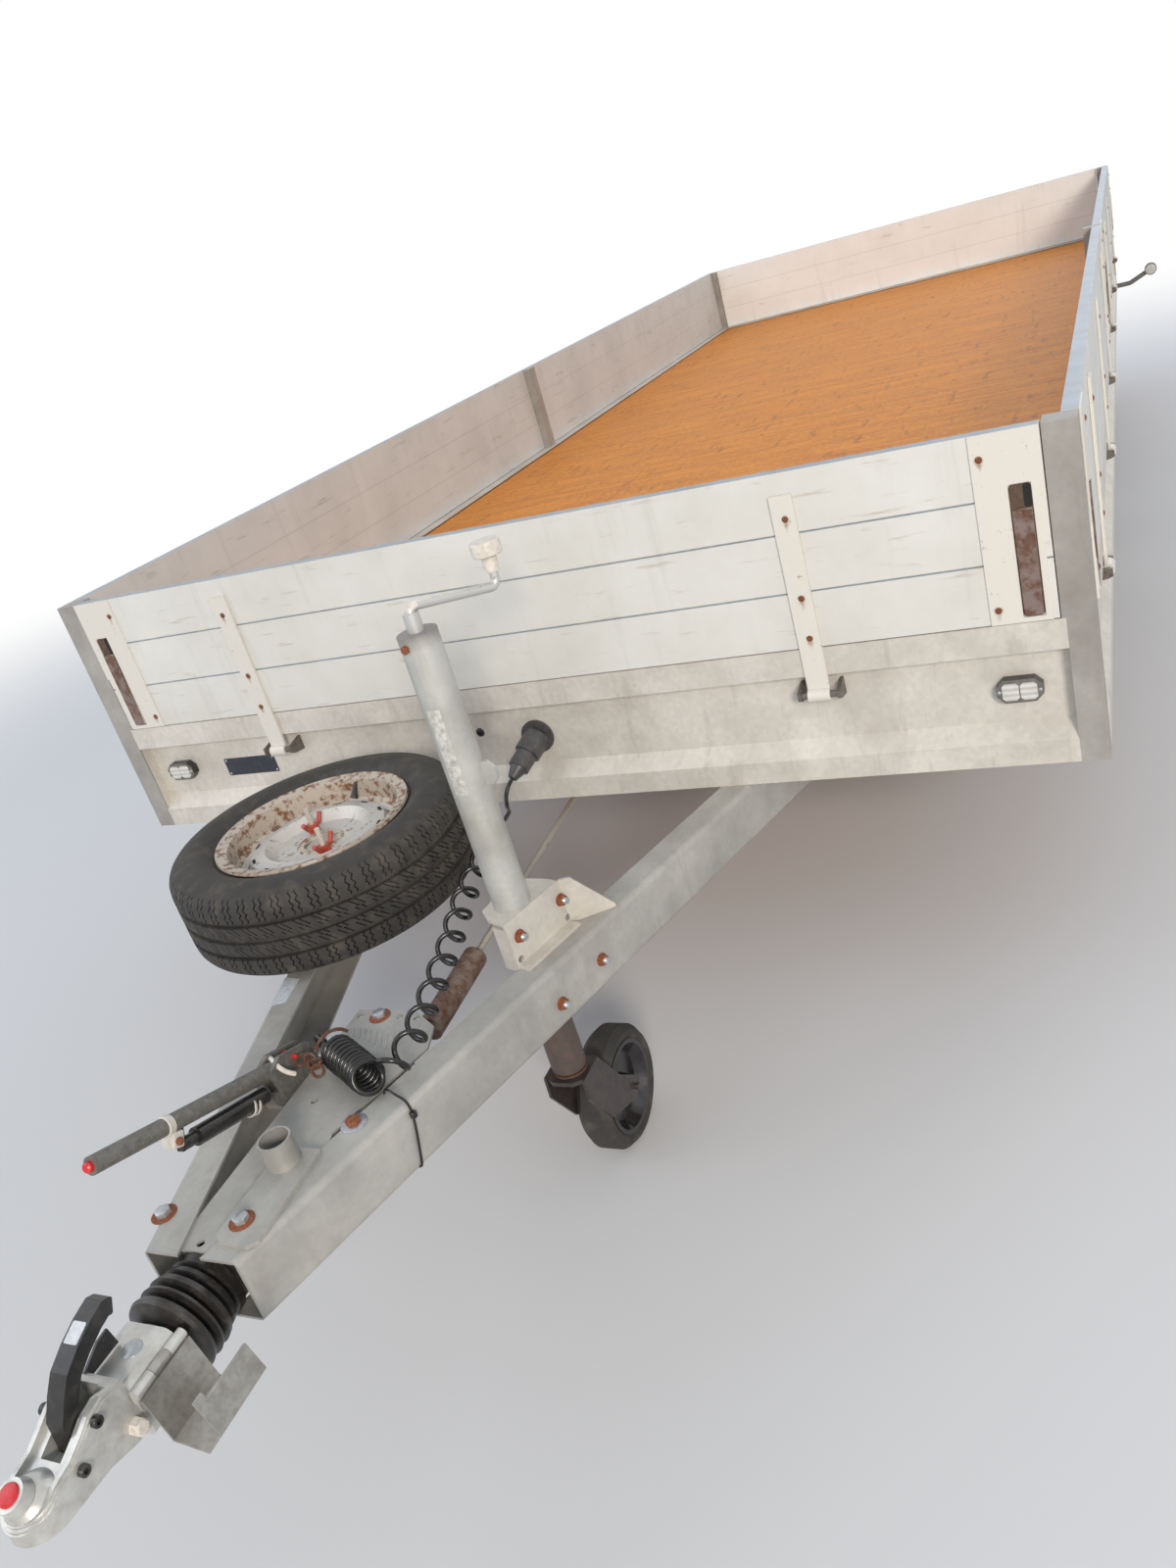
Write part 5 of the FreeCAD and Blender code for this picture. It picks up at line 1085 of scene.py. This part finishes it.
# Columns of one pitch: share of the pitch, and 1 where the tread is cut
COLUMNS = [(0.20, 0), (0.215, 1), (0.285, 1), (0.30, 0), (0.55, 0), (0.565, 1), (0.635, 1), (0.65, 0),
           (1.20, 0)]


def tread_pitch():
    """One pitch of a tyre about Z, from one bead over the tread to the other, as a pattern object."""
    half = [(radius, side, 0.0, 0.0) for radius, side in SIDEWALL] + TREAD
    far = [(radius, -side, -shift, depth) for radius, side, shift, depth in reversed(half)]
    mesh = bmesh.new()
    grid = []
    for radius, side, shift, depth in half + far:
        line = []
        for share, cut in COLUMNS:
            angle = 2 * math.pi / PITCHES * share + shift / TYRE_RADIUS
            reach = (radius - depth * cut) * MM
            line.append(mesh.verts.new((reach * math.cos(angle), reach * math.sin(angle), side * MM)))
        grid.append(line)
    for low, high in zip(grid, grid[1:]):
        for i in range(len(low) - 1):
            mesh.faces.new((low[i], low[i + 1], high[i + 1], high[i]))
    first, last = grid[0], grid[-1]
    for i in range(len(first) - 1):
        mesh.faces.new((first[i + 1], first[i], last[i], last[i + 1]))
    bmesh.ops.recalc_face_normals(mesh, faces=mesh.faces)
    data = bpy.data.meshes.new("tread_pitch")
    mesh.to_mesh(data)
    mesh.free()
    data.shade_smooth()
    data.materials.append(tyre_rubber)
    return bpy.data.objects.new("tread_pitch", data)


PITCH = tread_pitch()
print("faces in one pitch", len(PITCH.data.polygons))

# %% [markdown]
# The copies stand on a line of points that all lie at the axle, and each is turned by its own
# share of the full turn. Where two copies meet, their points fall together and are merged.


# %% The tree that stands copies round an axle
def round_tree():
    """Stands copies of a pattern round Z and joins them where they meet."""
    tree, given = start_tree("copies_round_an_axle", "Ring", [
        ("Pattern", "Object", None), ("Copies", "Int", PITCHES), ("Join within", "Float", 0.0001),
        ("Finish", "Material", None)])
    pattern = add(tree, "GeometryNodeObjectInfo", {"Object": given["Pattern"]})
    line = add(tree, "GeometryNodeMeshLine", {"Count": given["Copies"], "Offset": (0, 0, 0)})
    index = add(tree, "GeometryNodeInputIndex")
    turn = add(tree, "ShaderNodeMath", {0: 2 * math.pi, 1: given["Copies"]}, operation="DIVIDE")
    angle = add(tree, "ShaderNodeMath", {0: index.outputs[0], 1: turn.outputs[0]}, operation="MULTIPLY")
    way = add(tree, "FunctionNodeAxisAngleToRotation", {"Axis": (0, 0, 1), "Angle": angle.outputs[0]})
    stood = add(tree, "GeometryNodeInstanceOnPoints",
                {"Points": line.outputs[0], "Instance": pattern.outputs["Geometry"],
                 "Rotation": way.outputs[0]})
    real = add(tree, "GeometryNodeRealizeInstances", {0: stood.outputs[0]})
    merged = add(tree, "GeometryNodeMergeByDistance", {"Geometry": real.outputs[0],
                                                       "Distance": given["Join within"]})
    dressed = add(tree, "GeometryNodeSetMaterial", {"Geometry": merged.outputs[0],
                                                    "Material": given["Finish"]})
    add(tree, "NodeGroupOutput", {0: dressed.outputs[0]})
    return tree


ROUND_TREE = round_tree()
WHEELS = ("front_left", "front_right", "rear_left", "rear_right")
TREAD_SHARP_FROM = 32
for wheel in WHEELS + ("spare",):
    low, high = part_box(wheel + "_tyre")
    place = looking((low + high) / 2, UP if wheel == "spare" else LEFT, AHEAD)
    body = "chassis" if wheel == "spare" else wheel + "_wheel"
    tyre = grown(wheel + "_treaded_tyre", bpy.data.meshes.new("empty"), ROUND_TREE, body, "tyre", place,
                 TREAD_SHARP_FROM, Pattern=PITCH, Copies=PITCHES, Finish=tyre_rubber)
    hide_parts(wheel + "_tyre")
print("tyre faces", len(tyre.data.polygons))

# %% [markdown]
# ## Hubs
#
# Each road wheel is held by four nuts, and a pressed dust cap closes its bearing. The spare has a
# rubber valve that stands in its rim, as the road wheels do.

# %% Wheel nuts, dust caps and valves
DUST_CAP = [(0, 74), (14, 73.4), (24, 71), (29.5, 66), (31.5, 58), (31.8, 50), (35, 48.5), (35, 45),
            (0, 45)]
VALVE = [(0, 30), (3.2, 30), (3.6, 22), (4.2, 20), (5.6, 8), (7.5, 2), (7.5, -2), (0, -2)]
# Distances in metres: the disc's face and the cap's foot from the trailer's middle, nuts from the axle
DISC_FACE = 0.8255
CAP_FOOT = 0.8
NUT_CIRCLE = 0.056
for wheel in WHEELS:
    body = wheel + "_wheel"
    low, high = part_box(wheel + "_rim")
    middle = (low + high) / 2
    side = 1 if middle.y > 0 else -1
    out = Vector((0, side, 0))
    disc = Vector((middle.x, side * DISC_FACE, middle.z))
    turns = [math.radians(45 + 90 * i) for i in range(4)]
    spots = [(disc + Vector((math.cos(turn), 0, math.sin(turn))) * NUT_CIRCLE, out) for turn in turns]
    stand_heads(wheel + "_nuts", WHEEL_NUT, spots, bright_zinc, body=body)
    single(wheel + "_dust_cap", lathe(DUST_CAP, 40),
           looking(Vector((middle.x, side * CAP_FOOT, middle.z)), out), bright_zinc, body)
    valve_foot = Vector((middle.x + 0.138, side * 0.846, middle.z + 0.01))
    single(wheel + "_valve", lathe(VALVE, 14), looking(valve_foot, (0.35, side * 0.9, 0.1)), boot_rubber,
           body)
single("spare_valve", lathe(VALVE, 16), looking(bed(205, -277, 646), (-0.55, 0.1, 0.8)), boot_rubber)
print("hubs dressed")

# %% [markdown]
# ## Lamps
#
# The front markers are faded plastic frames with a clear lens in two halves, held by two screws.
# The rear lamps have a red, an amber and a clear field. The stalked markers carry a white lens to
# the front and a red one to the rear. Lens plastic is smooth and glossy, and behind it lies a
# ribbed reflector. A wave pattern with ribs about 10 mm apart stands in for it, as bumps and as
# pale stripes that are painted reflection.

# %% Lens plastic
RIB_MM = 9.865
# A wave texture repeats every 314.16 mm at a scale of 1
WAVE_MM = 314.16


def lens(name, tint, pale):
    """Moulded acrylic over a ribbed reflector, whose ribs show as pale stripes of painted reflection, with
    a little dust.
    """
    material, tree, shader, place = start_material(name)
    ribs = add(tree, "ShaderNodeTexWave", {"Vector": place, "Scale": WAVE_MM / RIB_MM},
               bands_direction="Z").outputs[1]
    # Painted reflection: the ribs mix the lens tint with a paler colour in stripes
    painted_rib_reflection = add(tree, "ShaderNodeMix", {0: ribs, 6: colour(tint), 7: colour(pale)}, data_type="RGBA")
    dusty, dust = patched(tree, place, painted_rib_reflection.outputs[2], colour("A9A195"), 14, 0.3, 0.35, 0.12)
    tree.links.new(dusty, shader.inputs["Base Color"])
    shine(tree, shader, dust, 0.12, 0.4)
    shader.inputs["Coat Weight"].default_value = 0.6
    bump = add(tree, "ShaderNodeBump", {"Height": ribs, "Distance": 0.0006, "Strength": 0.5})
    tree.links.new(bump.outputs[0], shader.inputs["Normal"])
    return material


white_lens = lens("acrylic_lens_clear", "B9B7B0", "D6D5CF")
red_lens = lens("acrylic_lens_red", "8E1410", "B82A20")
amber_lens = lens("acrylic_lens_amber", "C0621A", "DA8838")
print("lenses", white_lens.name, red_lens.name, amber_lens.name)

# %% [markdown]
# A lens is a slab with a soft edge, and a marker's lens has cut corners. Each stalked marker's head
# is a round drum at the end of the rubber stalk, whose two flat ends are lenses.

# %% Lenses of the markers and rear lamps
# Rear lamp fields: name, middle's distance from the lamp's outer end, width, plastic
REAR_FIELDS = [("turn", 38, 68, amber_lens), ("brake", 115, 78, red_lens),
               ("reverse", 192, 66, white_lens)]
# Ends of a stalked marker: name, place along the trailer, way it looks, plastic
DRUM_ENDS = [("front", -5095, 1, white_lens), ("rear", -5135, -1, red_lens)]
DRUM_LENS = [(0, 1.6), (14, 1.5), (21, 0.9), (23.5, 0), (23.5, -1), (0, -1)]
MARKER_FACE, MARKER_SIDE, MARKER_HEIGHT = -10, 905, 636
LAMP_FACE, LAMP_END, LAMP_HEIGHT = -5138, 920, 634
STALK_SIDE, STALK_HEIGHT = 1186, 540


def octagon(half, tall, cut):
    """A rectangle's outline with its corners cut off."""
    return [(-half + cut, -tall), (half - cut, -tall), (half, -tall + cut), (half, tall - cut),
            (half - cut, tall), (-half + cut, tall), (-half, tall - cut), (-half, -tall + cut)]


SIDES = (("right", -1), ("left", 1))
for name, side in SIDES:
    halves = [(slab(octagon(13.4, 15, 5), 5, 2.5, 3),
               looking(bed(MARKER_FACE, side * MARKER_SIDE + across, MARKER_HEIGHT), AHEAD))
              for across in (-14, 14)]
    finished(f"{name}_front_lens", halves, white_lens)
    single(f"{name}_front_lens_rim", slab(octagon(36, 20, 12), 1.6, 1.2),
           looking(bed(MARKER_FACE, side * MARKER_SIDE, MARKER_HEIGHT), AHEAD), lamp_housing)
    screws = [(bed(MARKER_FACE + 1.6, side * MARKER_SIDE + across, MARKER_HEIGHT), AHEAD)
              for across in (-31.5, 31.5)]
    stand_heads(f"{name}_front_lens_screws", RIVET, screws, nut_zinc, size=0.55)
    for label, reach, width, plastic in REAR_FIELDS:
        single(f"{name}_rear_{label}_lens", slab(rectangle(width, 92), 6, 4, 3),
               looking(bed(LAMP_FACE, side * (LAMP_END - reach), LAMP_HEIGHT), -AHEAD), plastic)
for name, side in SIDES:
    for label, face_x, way, plastic in DRUM_ENDS:
        single(f"{name}_stalk_{label}_lens", lathe(DRUM_LENS, 40),
               looking(bed(face_x, side * STALK_SIDE, STALK_HEIGHT), AHEAD * way), plastic)
print("lamps dressed")

# %% [markdown]
# ## Recesses behind the latch levers
#
# Each latch lever lies in a slot of the board's end cap. Through the slot one sees the bottom of the
# recess, in shade, and above the lever a gap in deep shade. Thin slabs with rounded corners are
# painted shade for both, a third of a millimetre inside the slot's edges.

# %% Recess slabs
SLOT_FROM_END = 35.5 * MM
SLOT_MIDDLE = 870 * MM
GAP_IN_SLOT = Matrix.Translation((0.0095, 0.085, 0))
for board in BOARD_STRAPS:
    out, along, half, origin = board_measures(board)
    unit = board + "_board_unit"
    spots = [origin + along * side * (half - SLOT_FROM_END) + UP * SLOT_MIDDLE for side in (-1, 1)]
    # Both slabs are painted shade: brown for the slot's bottom, near black for the gap above the lever
    bottoms = [(slab(rounded(32.4, 209.4, 7), 0.6), looking(spot, out)) for spot in spots]
    finished(board + "_slot_bottoms", bottoms, recess_painted_shade, unit)
    gaps = [(slab(rounded(11, 36, 4), 0.9), looking(spot, out) @ GAP_IN_SLOT) for spot in spots]
    finished(board + "_slot_gaps", gaps, deep_shadow, unit)
print("slots", 2 * len(BOARD_STRAPS))

# %% [markdown]
# ## The front frame's plate
#
# A dark plate is riveted into the recess of the front rail. It is left blank. A small plug closes a
# hole in the rail's web.

# %% Blank plate and hole cap
WEB_FACE = -28
PLATE_THICK = 0.8
plate_at = bed(WEB_FACE, -714.5, 628)
single("blank_plate", slab(rounded(143, 42, 3), PLATE_THICK, 0.3, 1), looking(plate_at, AHEAD), plate_coat)
corners = [(plate_at + Vector((PLATE_THICK, across, up)) * MM, AHEAD)
           for across in (-66, 66) for up in (-16, 16)]
stand_heads("plate_rivets", RIVET, corners, nut_zinc, size=0.5)
single("frame_hole_cap", lathe([(0, 3.5), (6.5, 3.2), (9, 1.6), (9.4, 0), (0, 0)], 24),
       looking(bed(WEB_FACE, -112, 651), AHEAD), black_plastic)
print("plate rivets", len(corners))

# %% [markdown]
# ## Returns at the ends of the rails' recess
#
# The corner columns are folded back behind their faces, so the recess of each rail is closed at
# both ends. Each return follows the recess' section, from the back of the column's face to just
# behind the web.

# %% Recess returns
COLUMN_FACE = 44 * MM
BED_REAR = -5140
BED_HALF = 1030
RETURN_OUTLINE = [(4, 552), (31, 578), (31, 694), (4, 703.6)]
RETURN_THICK = 1.5
returns = []
for end_x, along in ((0, AHEAD), (BED_REAR, -AHEAD)):
    for side in (-1, 1):
        corner = bed(end_x, side * BED_HALF, 0)
        for face, end in ((along, LEFT * side), (LEFT * side, along)):
            inward = -UP.cross(end).dot(face)
            outline = [(inward * depth, height) for depth, height in RETURN_OUTLINE]
            returns.append((slab(outline, RETURN_THICK), looking(corner - end * COLUMN_FACE, end)))
finished("recess_returns", returns, frame_steel)
print("recess returns", len(returns))

# %% [markdown]
# ## The cable tie and the breakaway clip
#
# A black cable tie holds the last ring of the bunched coil to the left beam. Beside the bunch hangs
# the clip of the breakaway cable: a red sleeve and rusty links. The thin wire itself is left out.
# All of them are round bars bent along a smooth line, so one function makes them from few points.


# %% Bars, tie, links and clip
def rod(points, radius, closed=False):
    """A round bar, radius in millimetres, bent along smooth points given in metres."""
    data = mesh_of(smooth_curve("rod", points, 6, depth=radius * MM, closed=closed))
    mesh = bmesh.new()
    mesh.from_mesh(data)
    bmesh.ops.recalc_face_normals(mesh, faces=mesh.faces)
    bpy.data.meshes.remove(data)
    return mesh


def circle(centre, normal, radius, share=1.0):
    """Twelve points of a circle, or thirteen of its upper share, in metres."""
    place = looking(centre, normal)
    angles = [math.pi / 2 + 2 * math.pi * share * (i / 12 - 0.5) for i in range(12 if share == 1 else 13)]
    return [place @ Vector((radius * MM * math.cos(a), radius * MM * math.sin(a), 0)) for a in angles]


# Points of the tie and the sleeve, in millimetres from the bed's front
TIE = [(851, 164.5, 509), (853, 165, 480), (866, 161.5, 425), (870, 159, 404.5), (852, 112, 404.5),
       (836, 112, 430), (834, 112, 480), (834, 113, 507), (838, 124, 519), (845, 143, 515)]
SLEEVE = [(790, -88, 537), (797, -74, 540), (803, -56, 541), (807, -42, 538)]
# Links: middle, way through the link, radius
LINKS = [((808, -33, 536), (0.3, 0.2, 1), 10), ((806, -20, 536), (1, 0.2, 0.3), 9),
         ((812, -8, 534), (0.1, 0.3, 1), 10), ((822, 2, 530), (0.9, 0.3, 0.4), 9)]
tie_lock = (slab(rounded(9, 11, 2), 6, 1, 1), looking(bed(852.5, 164.5, 489), BEAM_OUT))
finished("cable_tie", [(rod([bed(*at) for at in TIE], 1.8, True), STILL), tie_lock], cord_pvc)
single("red_cable_sleeve", rod([bed(*at) for at in SLEEVE], 3.4), STILL, button_red)
# The links and the clip share the slider's rust, whose extra darkness is painted shade
finished("rusty_links", [(rod(circle(bed(*at), way, size), 2.3, True), STILL) for at, way, size in LINKS],
         rust_and_painted_shade)
single("rusty_bunch_clip", rod(circle(bed(776, 2, 530), (-0.483, -0.875, 0), 30.5, 0.34), 2.6), STILL,
       rust_and_painted_shade)
print("links", len(LINKS))

# %% [markdown]
# ## The handbrake and the overrun housing
#
# The lever has a red release button at its tip and a pale clamp. The gas spring under it is a black
# sleeve with two pale rings and a zinc fork. The housing's top plate has nine short pressed ribs.

# %% Lever and spring
LEVER_WAY = Vector((0.9336, 0, 0.3584))
LEVER_PIVOT = bed(797, -66, 526)
LEVER_LENGTH = 0.3655
CLAMP_FROM_PIVOT = 0.24
SPRING_WAY = Vector((0.891, 0, 0.454))
SPRING_FOOT = bed(871, -66, 515)
CLAMP = [(12.1, 0), (14, 0.8), (14.2, 10.4), (12.1, 11.2), (12.1, 0)]
RING = [(13.1, 0), (14.6, 0.6), (14.6, 3.4), (13.1, 4), (13.1, 0)]
HOOK = [(820, -79, 548), (829, -66, 556), (838, -52, 550), (836, -40, 536), (828, -36, 528)]
single("lever_button", lathe([(0, 9), (5, 8.4), (7, 6.5), (7, 0), (0, 0)], 24),
       looking(LEVER_PIVOT + LEVER_WAY * LEVER_LENGTH, LEVER_WAY), button_red)
single("lever_clamp", lathe(CLAMP, 32),
       looking(LEVER_PIVOT + LEVER_WAY * CLAMP_FROM_PIVOT, LEVER_WAY), frame_steel)
rings = [(lathe(RING, 32), looking(SPRING_FOOT + SPRING_WAY * reach, SPRING_WAY))
         for reach in (0.022, 0.031)]
finished("gas_spring_rings", rings, frame_steel)
single("gas_spring_fork", slab(rounded(24, 22, 3), 16, 1.5), looking(bed(1020, -66, 589), SPRING_WAY),
       frame_steel)
stand_heads("fork_bolt", BOLT, [(bed(1029, -54, 592), LEFT)], rust_steel, size=0.5)
single("lever_hook", rod([bed(*at) for at in HOOK], 3.6), STILL, knob_nylon)
print("rings on the spring", len(rings))

# %% [markdown]
# The ribs are low slabs with round ends. A label on the right beam is left blank.

# %% Ribs and label
HOUSING_TOP = 502
BEAM_TOP = 506
# Ribs: their two ends from above, from the right of the housing to its left
RIBS = [((699, -38), (713, -29)), ((697, -28), (716, -17)), ((696, -17), (718, -4)),
        ((697, -5), (722, 7)), ((699, 6), (726, 18)), ((701, 18), (731, 32)), ((703, 29), (736, 45)),
        ((707, 42), (740, 57)), ((711, 54), (743, 69))]
pressed = []
for (x0, y0), (x1, y1) in RIBS:
    run = Vector((x1 - x0, y1 - y0, 0))
    pressed.append((slab(rounded(3.6, run.length, 1.7), 1.0, 0.7),
                    looking(bed((x0 + x1) / 2, (y0 + y1) / 2, HOUSING_TOP), UP, run)))
finished("pressed_ribs", pressed, beam_steel)
single("blank_beam_label", slab([(652, -222), (642, -197), (581, -211), (577, -243)], 0.4),
       Matrix.Translation(bed(0, 0, BEAM_TOP)), label_vinyl)
print("ribs", len(RIBS))

# %% [markdown]
# ## The coupling
#
# The coupling head's small parts: a red wear button in its boss, two pairs of dark socket bolts, a
# nylon bolt on the left, a plated cap, a catch plate, and a blank label on the black handle.

# %% Small parts of the coupling
WEAR_BUTTON = [(0, 4.4), (8, 4.0), (11.6, 2.8), (12.4, 1.2), (12.4, 0), (0, 0)]
SOCKET_BOLT = [(0, 3.2), (3.4, 3.2), (3.4, 6.6), (6.2, 6.6), (7, 5.8), (7, 0), (0, 0)]
NYLON_BOLT = [(0, 13), (8.4, 13), (10.6, 11.6), (10.6, 0), (0, 0)]
CAP = [(0, 5), (9, 4.6), (13, 3), (14, 1), (14, 0), (0, 0)]
# Seen from the left, backwards from the origin and up
CATCH = [(-1248, 521), (-1245, 495), (-1306, 495), (-1294, 506), (-1265, 520)]
single("wear_button", lathe(WEAR_BUTTON, 32), looking(bed(1428.2, 0, 498.5), (0.391, 0, 0.921), AHEAD),
       button_red)
sockets = [(lathe(SOCKET_BOLT, 24), looking(bed(x, side * 37, z), LEFT * side))
           for x, z in [(1337.9, 498.8), (1374.9, 471.3)] for side in (-1, 1)]
finished("coupling_socket_bolts", sockets, black_paint)
single("nylon_bolt", lathe(NYLON_BOLT, 6), looking(bed(1306, 37, 446), LEFT), knob_nylon)
single("plated_cap", lathe(CAP, 32), looking(bed(1249, 5.4, 490), UP, AHEAD), nut_zinc)
single("catch_plate", slab(CATCH, 4, 0.6, 1), looking(bed(0, -20, 0), LEFT), black_paint)
single("blank_handle_label", slab(rounded(20, 24, 2), 0.4),
       looking(bed(1288, 0, 567.2), (0.359, 0, 0.933), AHEAD), label_vinyl)
print("socket bolts", len(sockets))

# %% [markdown]
# ## The jack
#
# The jack's tube carries a worn label, which is bent round it, and a rusty clamp bolt. The label is
# a strip of flat faces a fraction of a millimetre off the tube.

# %% Jack label and bolt
JACK_AXIS = bed(488, 181.5, 0)
LABEL_RADIUS = 30.3 * MM
worn_label = skin("worn_white_label", "CFCFC8", "A9A79F", "7E7A72", 9, 0, (0.45, 0.7), 2, 0.1)
label_mesh = bmesh.new()
columns = []
for i in range(9):
    angle = math.radians(-20 + 42 * i / 8)
    at = JACK_AXIS + Vector((math.cos(angle), math.sin(angle), 0)) * LABEL_RADIUS
    columns.append([label_mesh.verts.new(at + Vector((0, 0, z * MM))) for z in (794, 932)])
for here, ahead in zip(columns, columns[1:]):
    label_mesh.faces.new((here[0], ahead[0], ahead[1], here[1]))
single("worn_jack_label", label_mesh, STILL, worn_label)
stand_heads("jack_clamp_bolt", BOLT, [(bed(517.3, 175.3, 1027.6), Vector((0.977, -0.213, 0)))], rust_steel,
            size=0.62)
print("label columns", len(columns))

# %% [markdown]
# ## The spare wheel
#
# The spare's disc has a rusty ring round its middle hole and a row of vent windows near its edge.
# A near black disc at the bottom of the hole and near black slabs in the windows are painted shade.

# %% Spare's ring and windows
HOLE_RING = [(31, 0), (31.4, 1.6), (43, 1.6), (44.5, 0), (31, 0)]
WINDOWS = 12
WINDOW_REACH = 0.121
RING_FOOT, BOTTOM_FOOT, WINDOW_FOOT = 0.631, 0.623, 0.6449
single("spare_hole_ring", lathe(HOLE_RING, 40), Matrix.Translation(SPARE_AXIS + UP * RING_FOOT),
       flange_rust)
# Painted shade: a near black disc at the bottom of the middle hole
single("spare_hole_bottom", lathe([(0, 2), (34, 2), (34, 0), (0, 0)], 32),
       Matrix.Translation(SPARE_AXIS + UP * BOTTOM_FOOT), deep_shadow)
# Painted shade: near black slabs in the vent windows
windows = []
for i in range(WINDOWS):
    angle = 2 * math.pi * (i + 0.5) / WINDOWS
    away = Vector((math.cos(angle), math.sin(angle), 0))
    at = SPARE_AXIS + away * WINDOW_REACH + UP * WINDOW_FOOT
    windows.append((slab(rounded(19, 8.5, 4), 0.7), looking(at, away * 0.33 + UP * 0.94, away)))
finished("spare_vent_windows", windows, deep_shadow)
print("vent windows", len(windows))
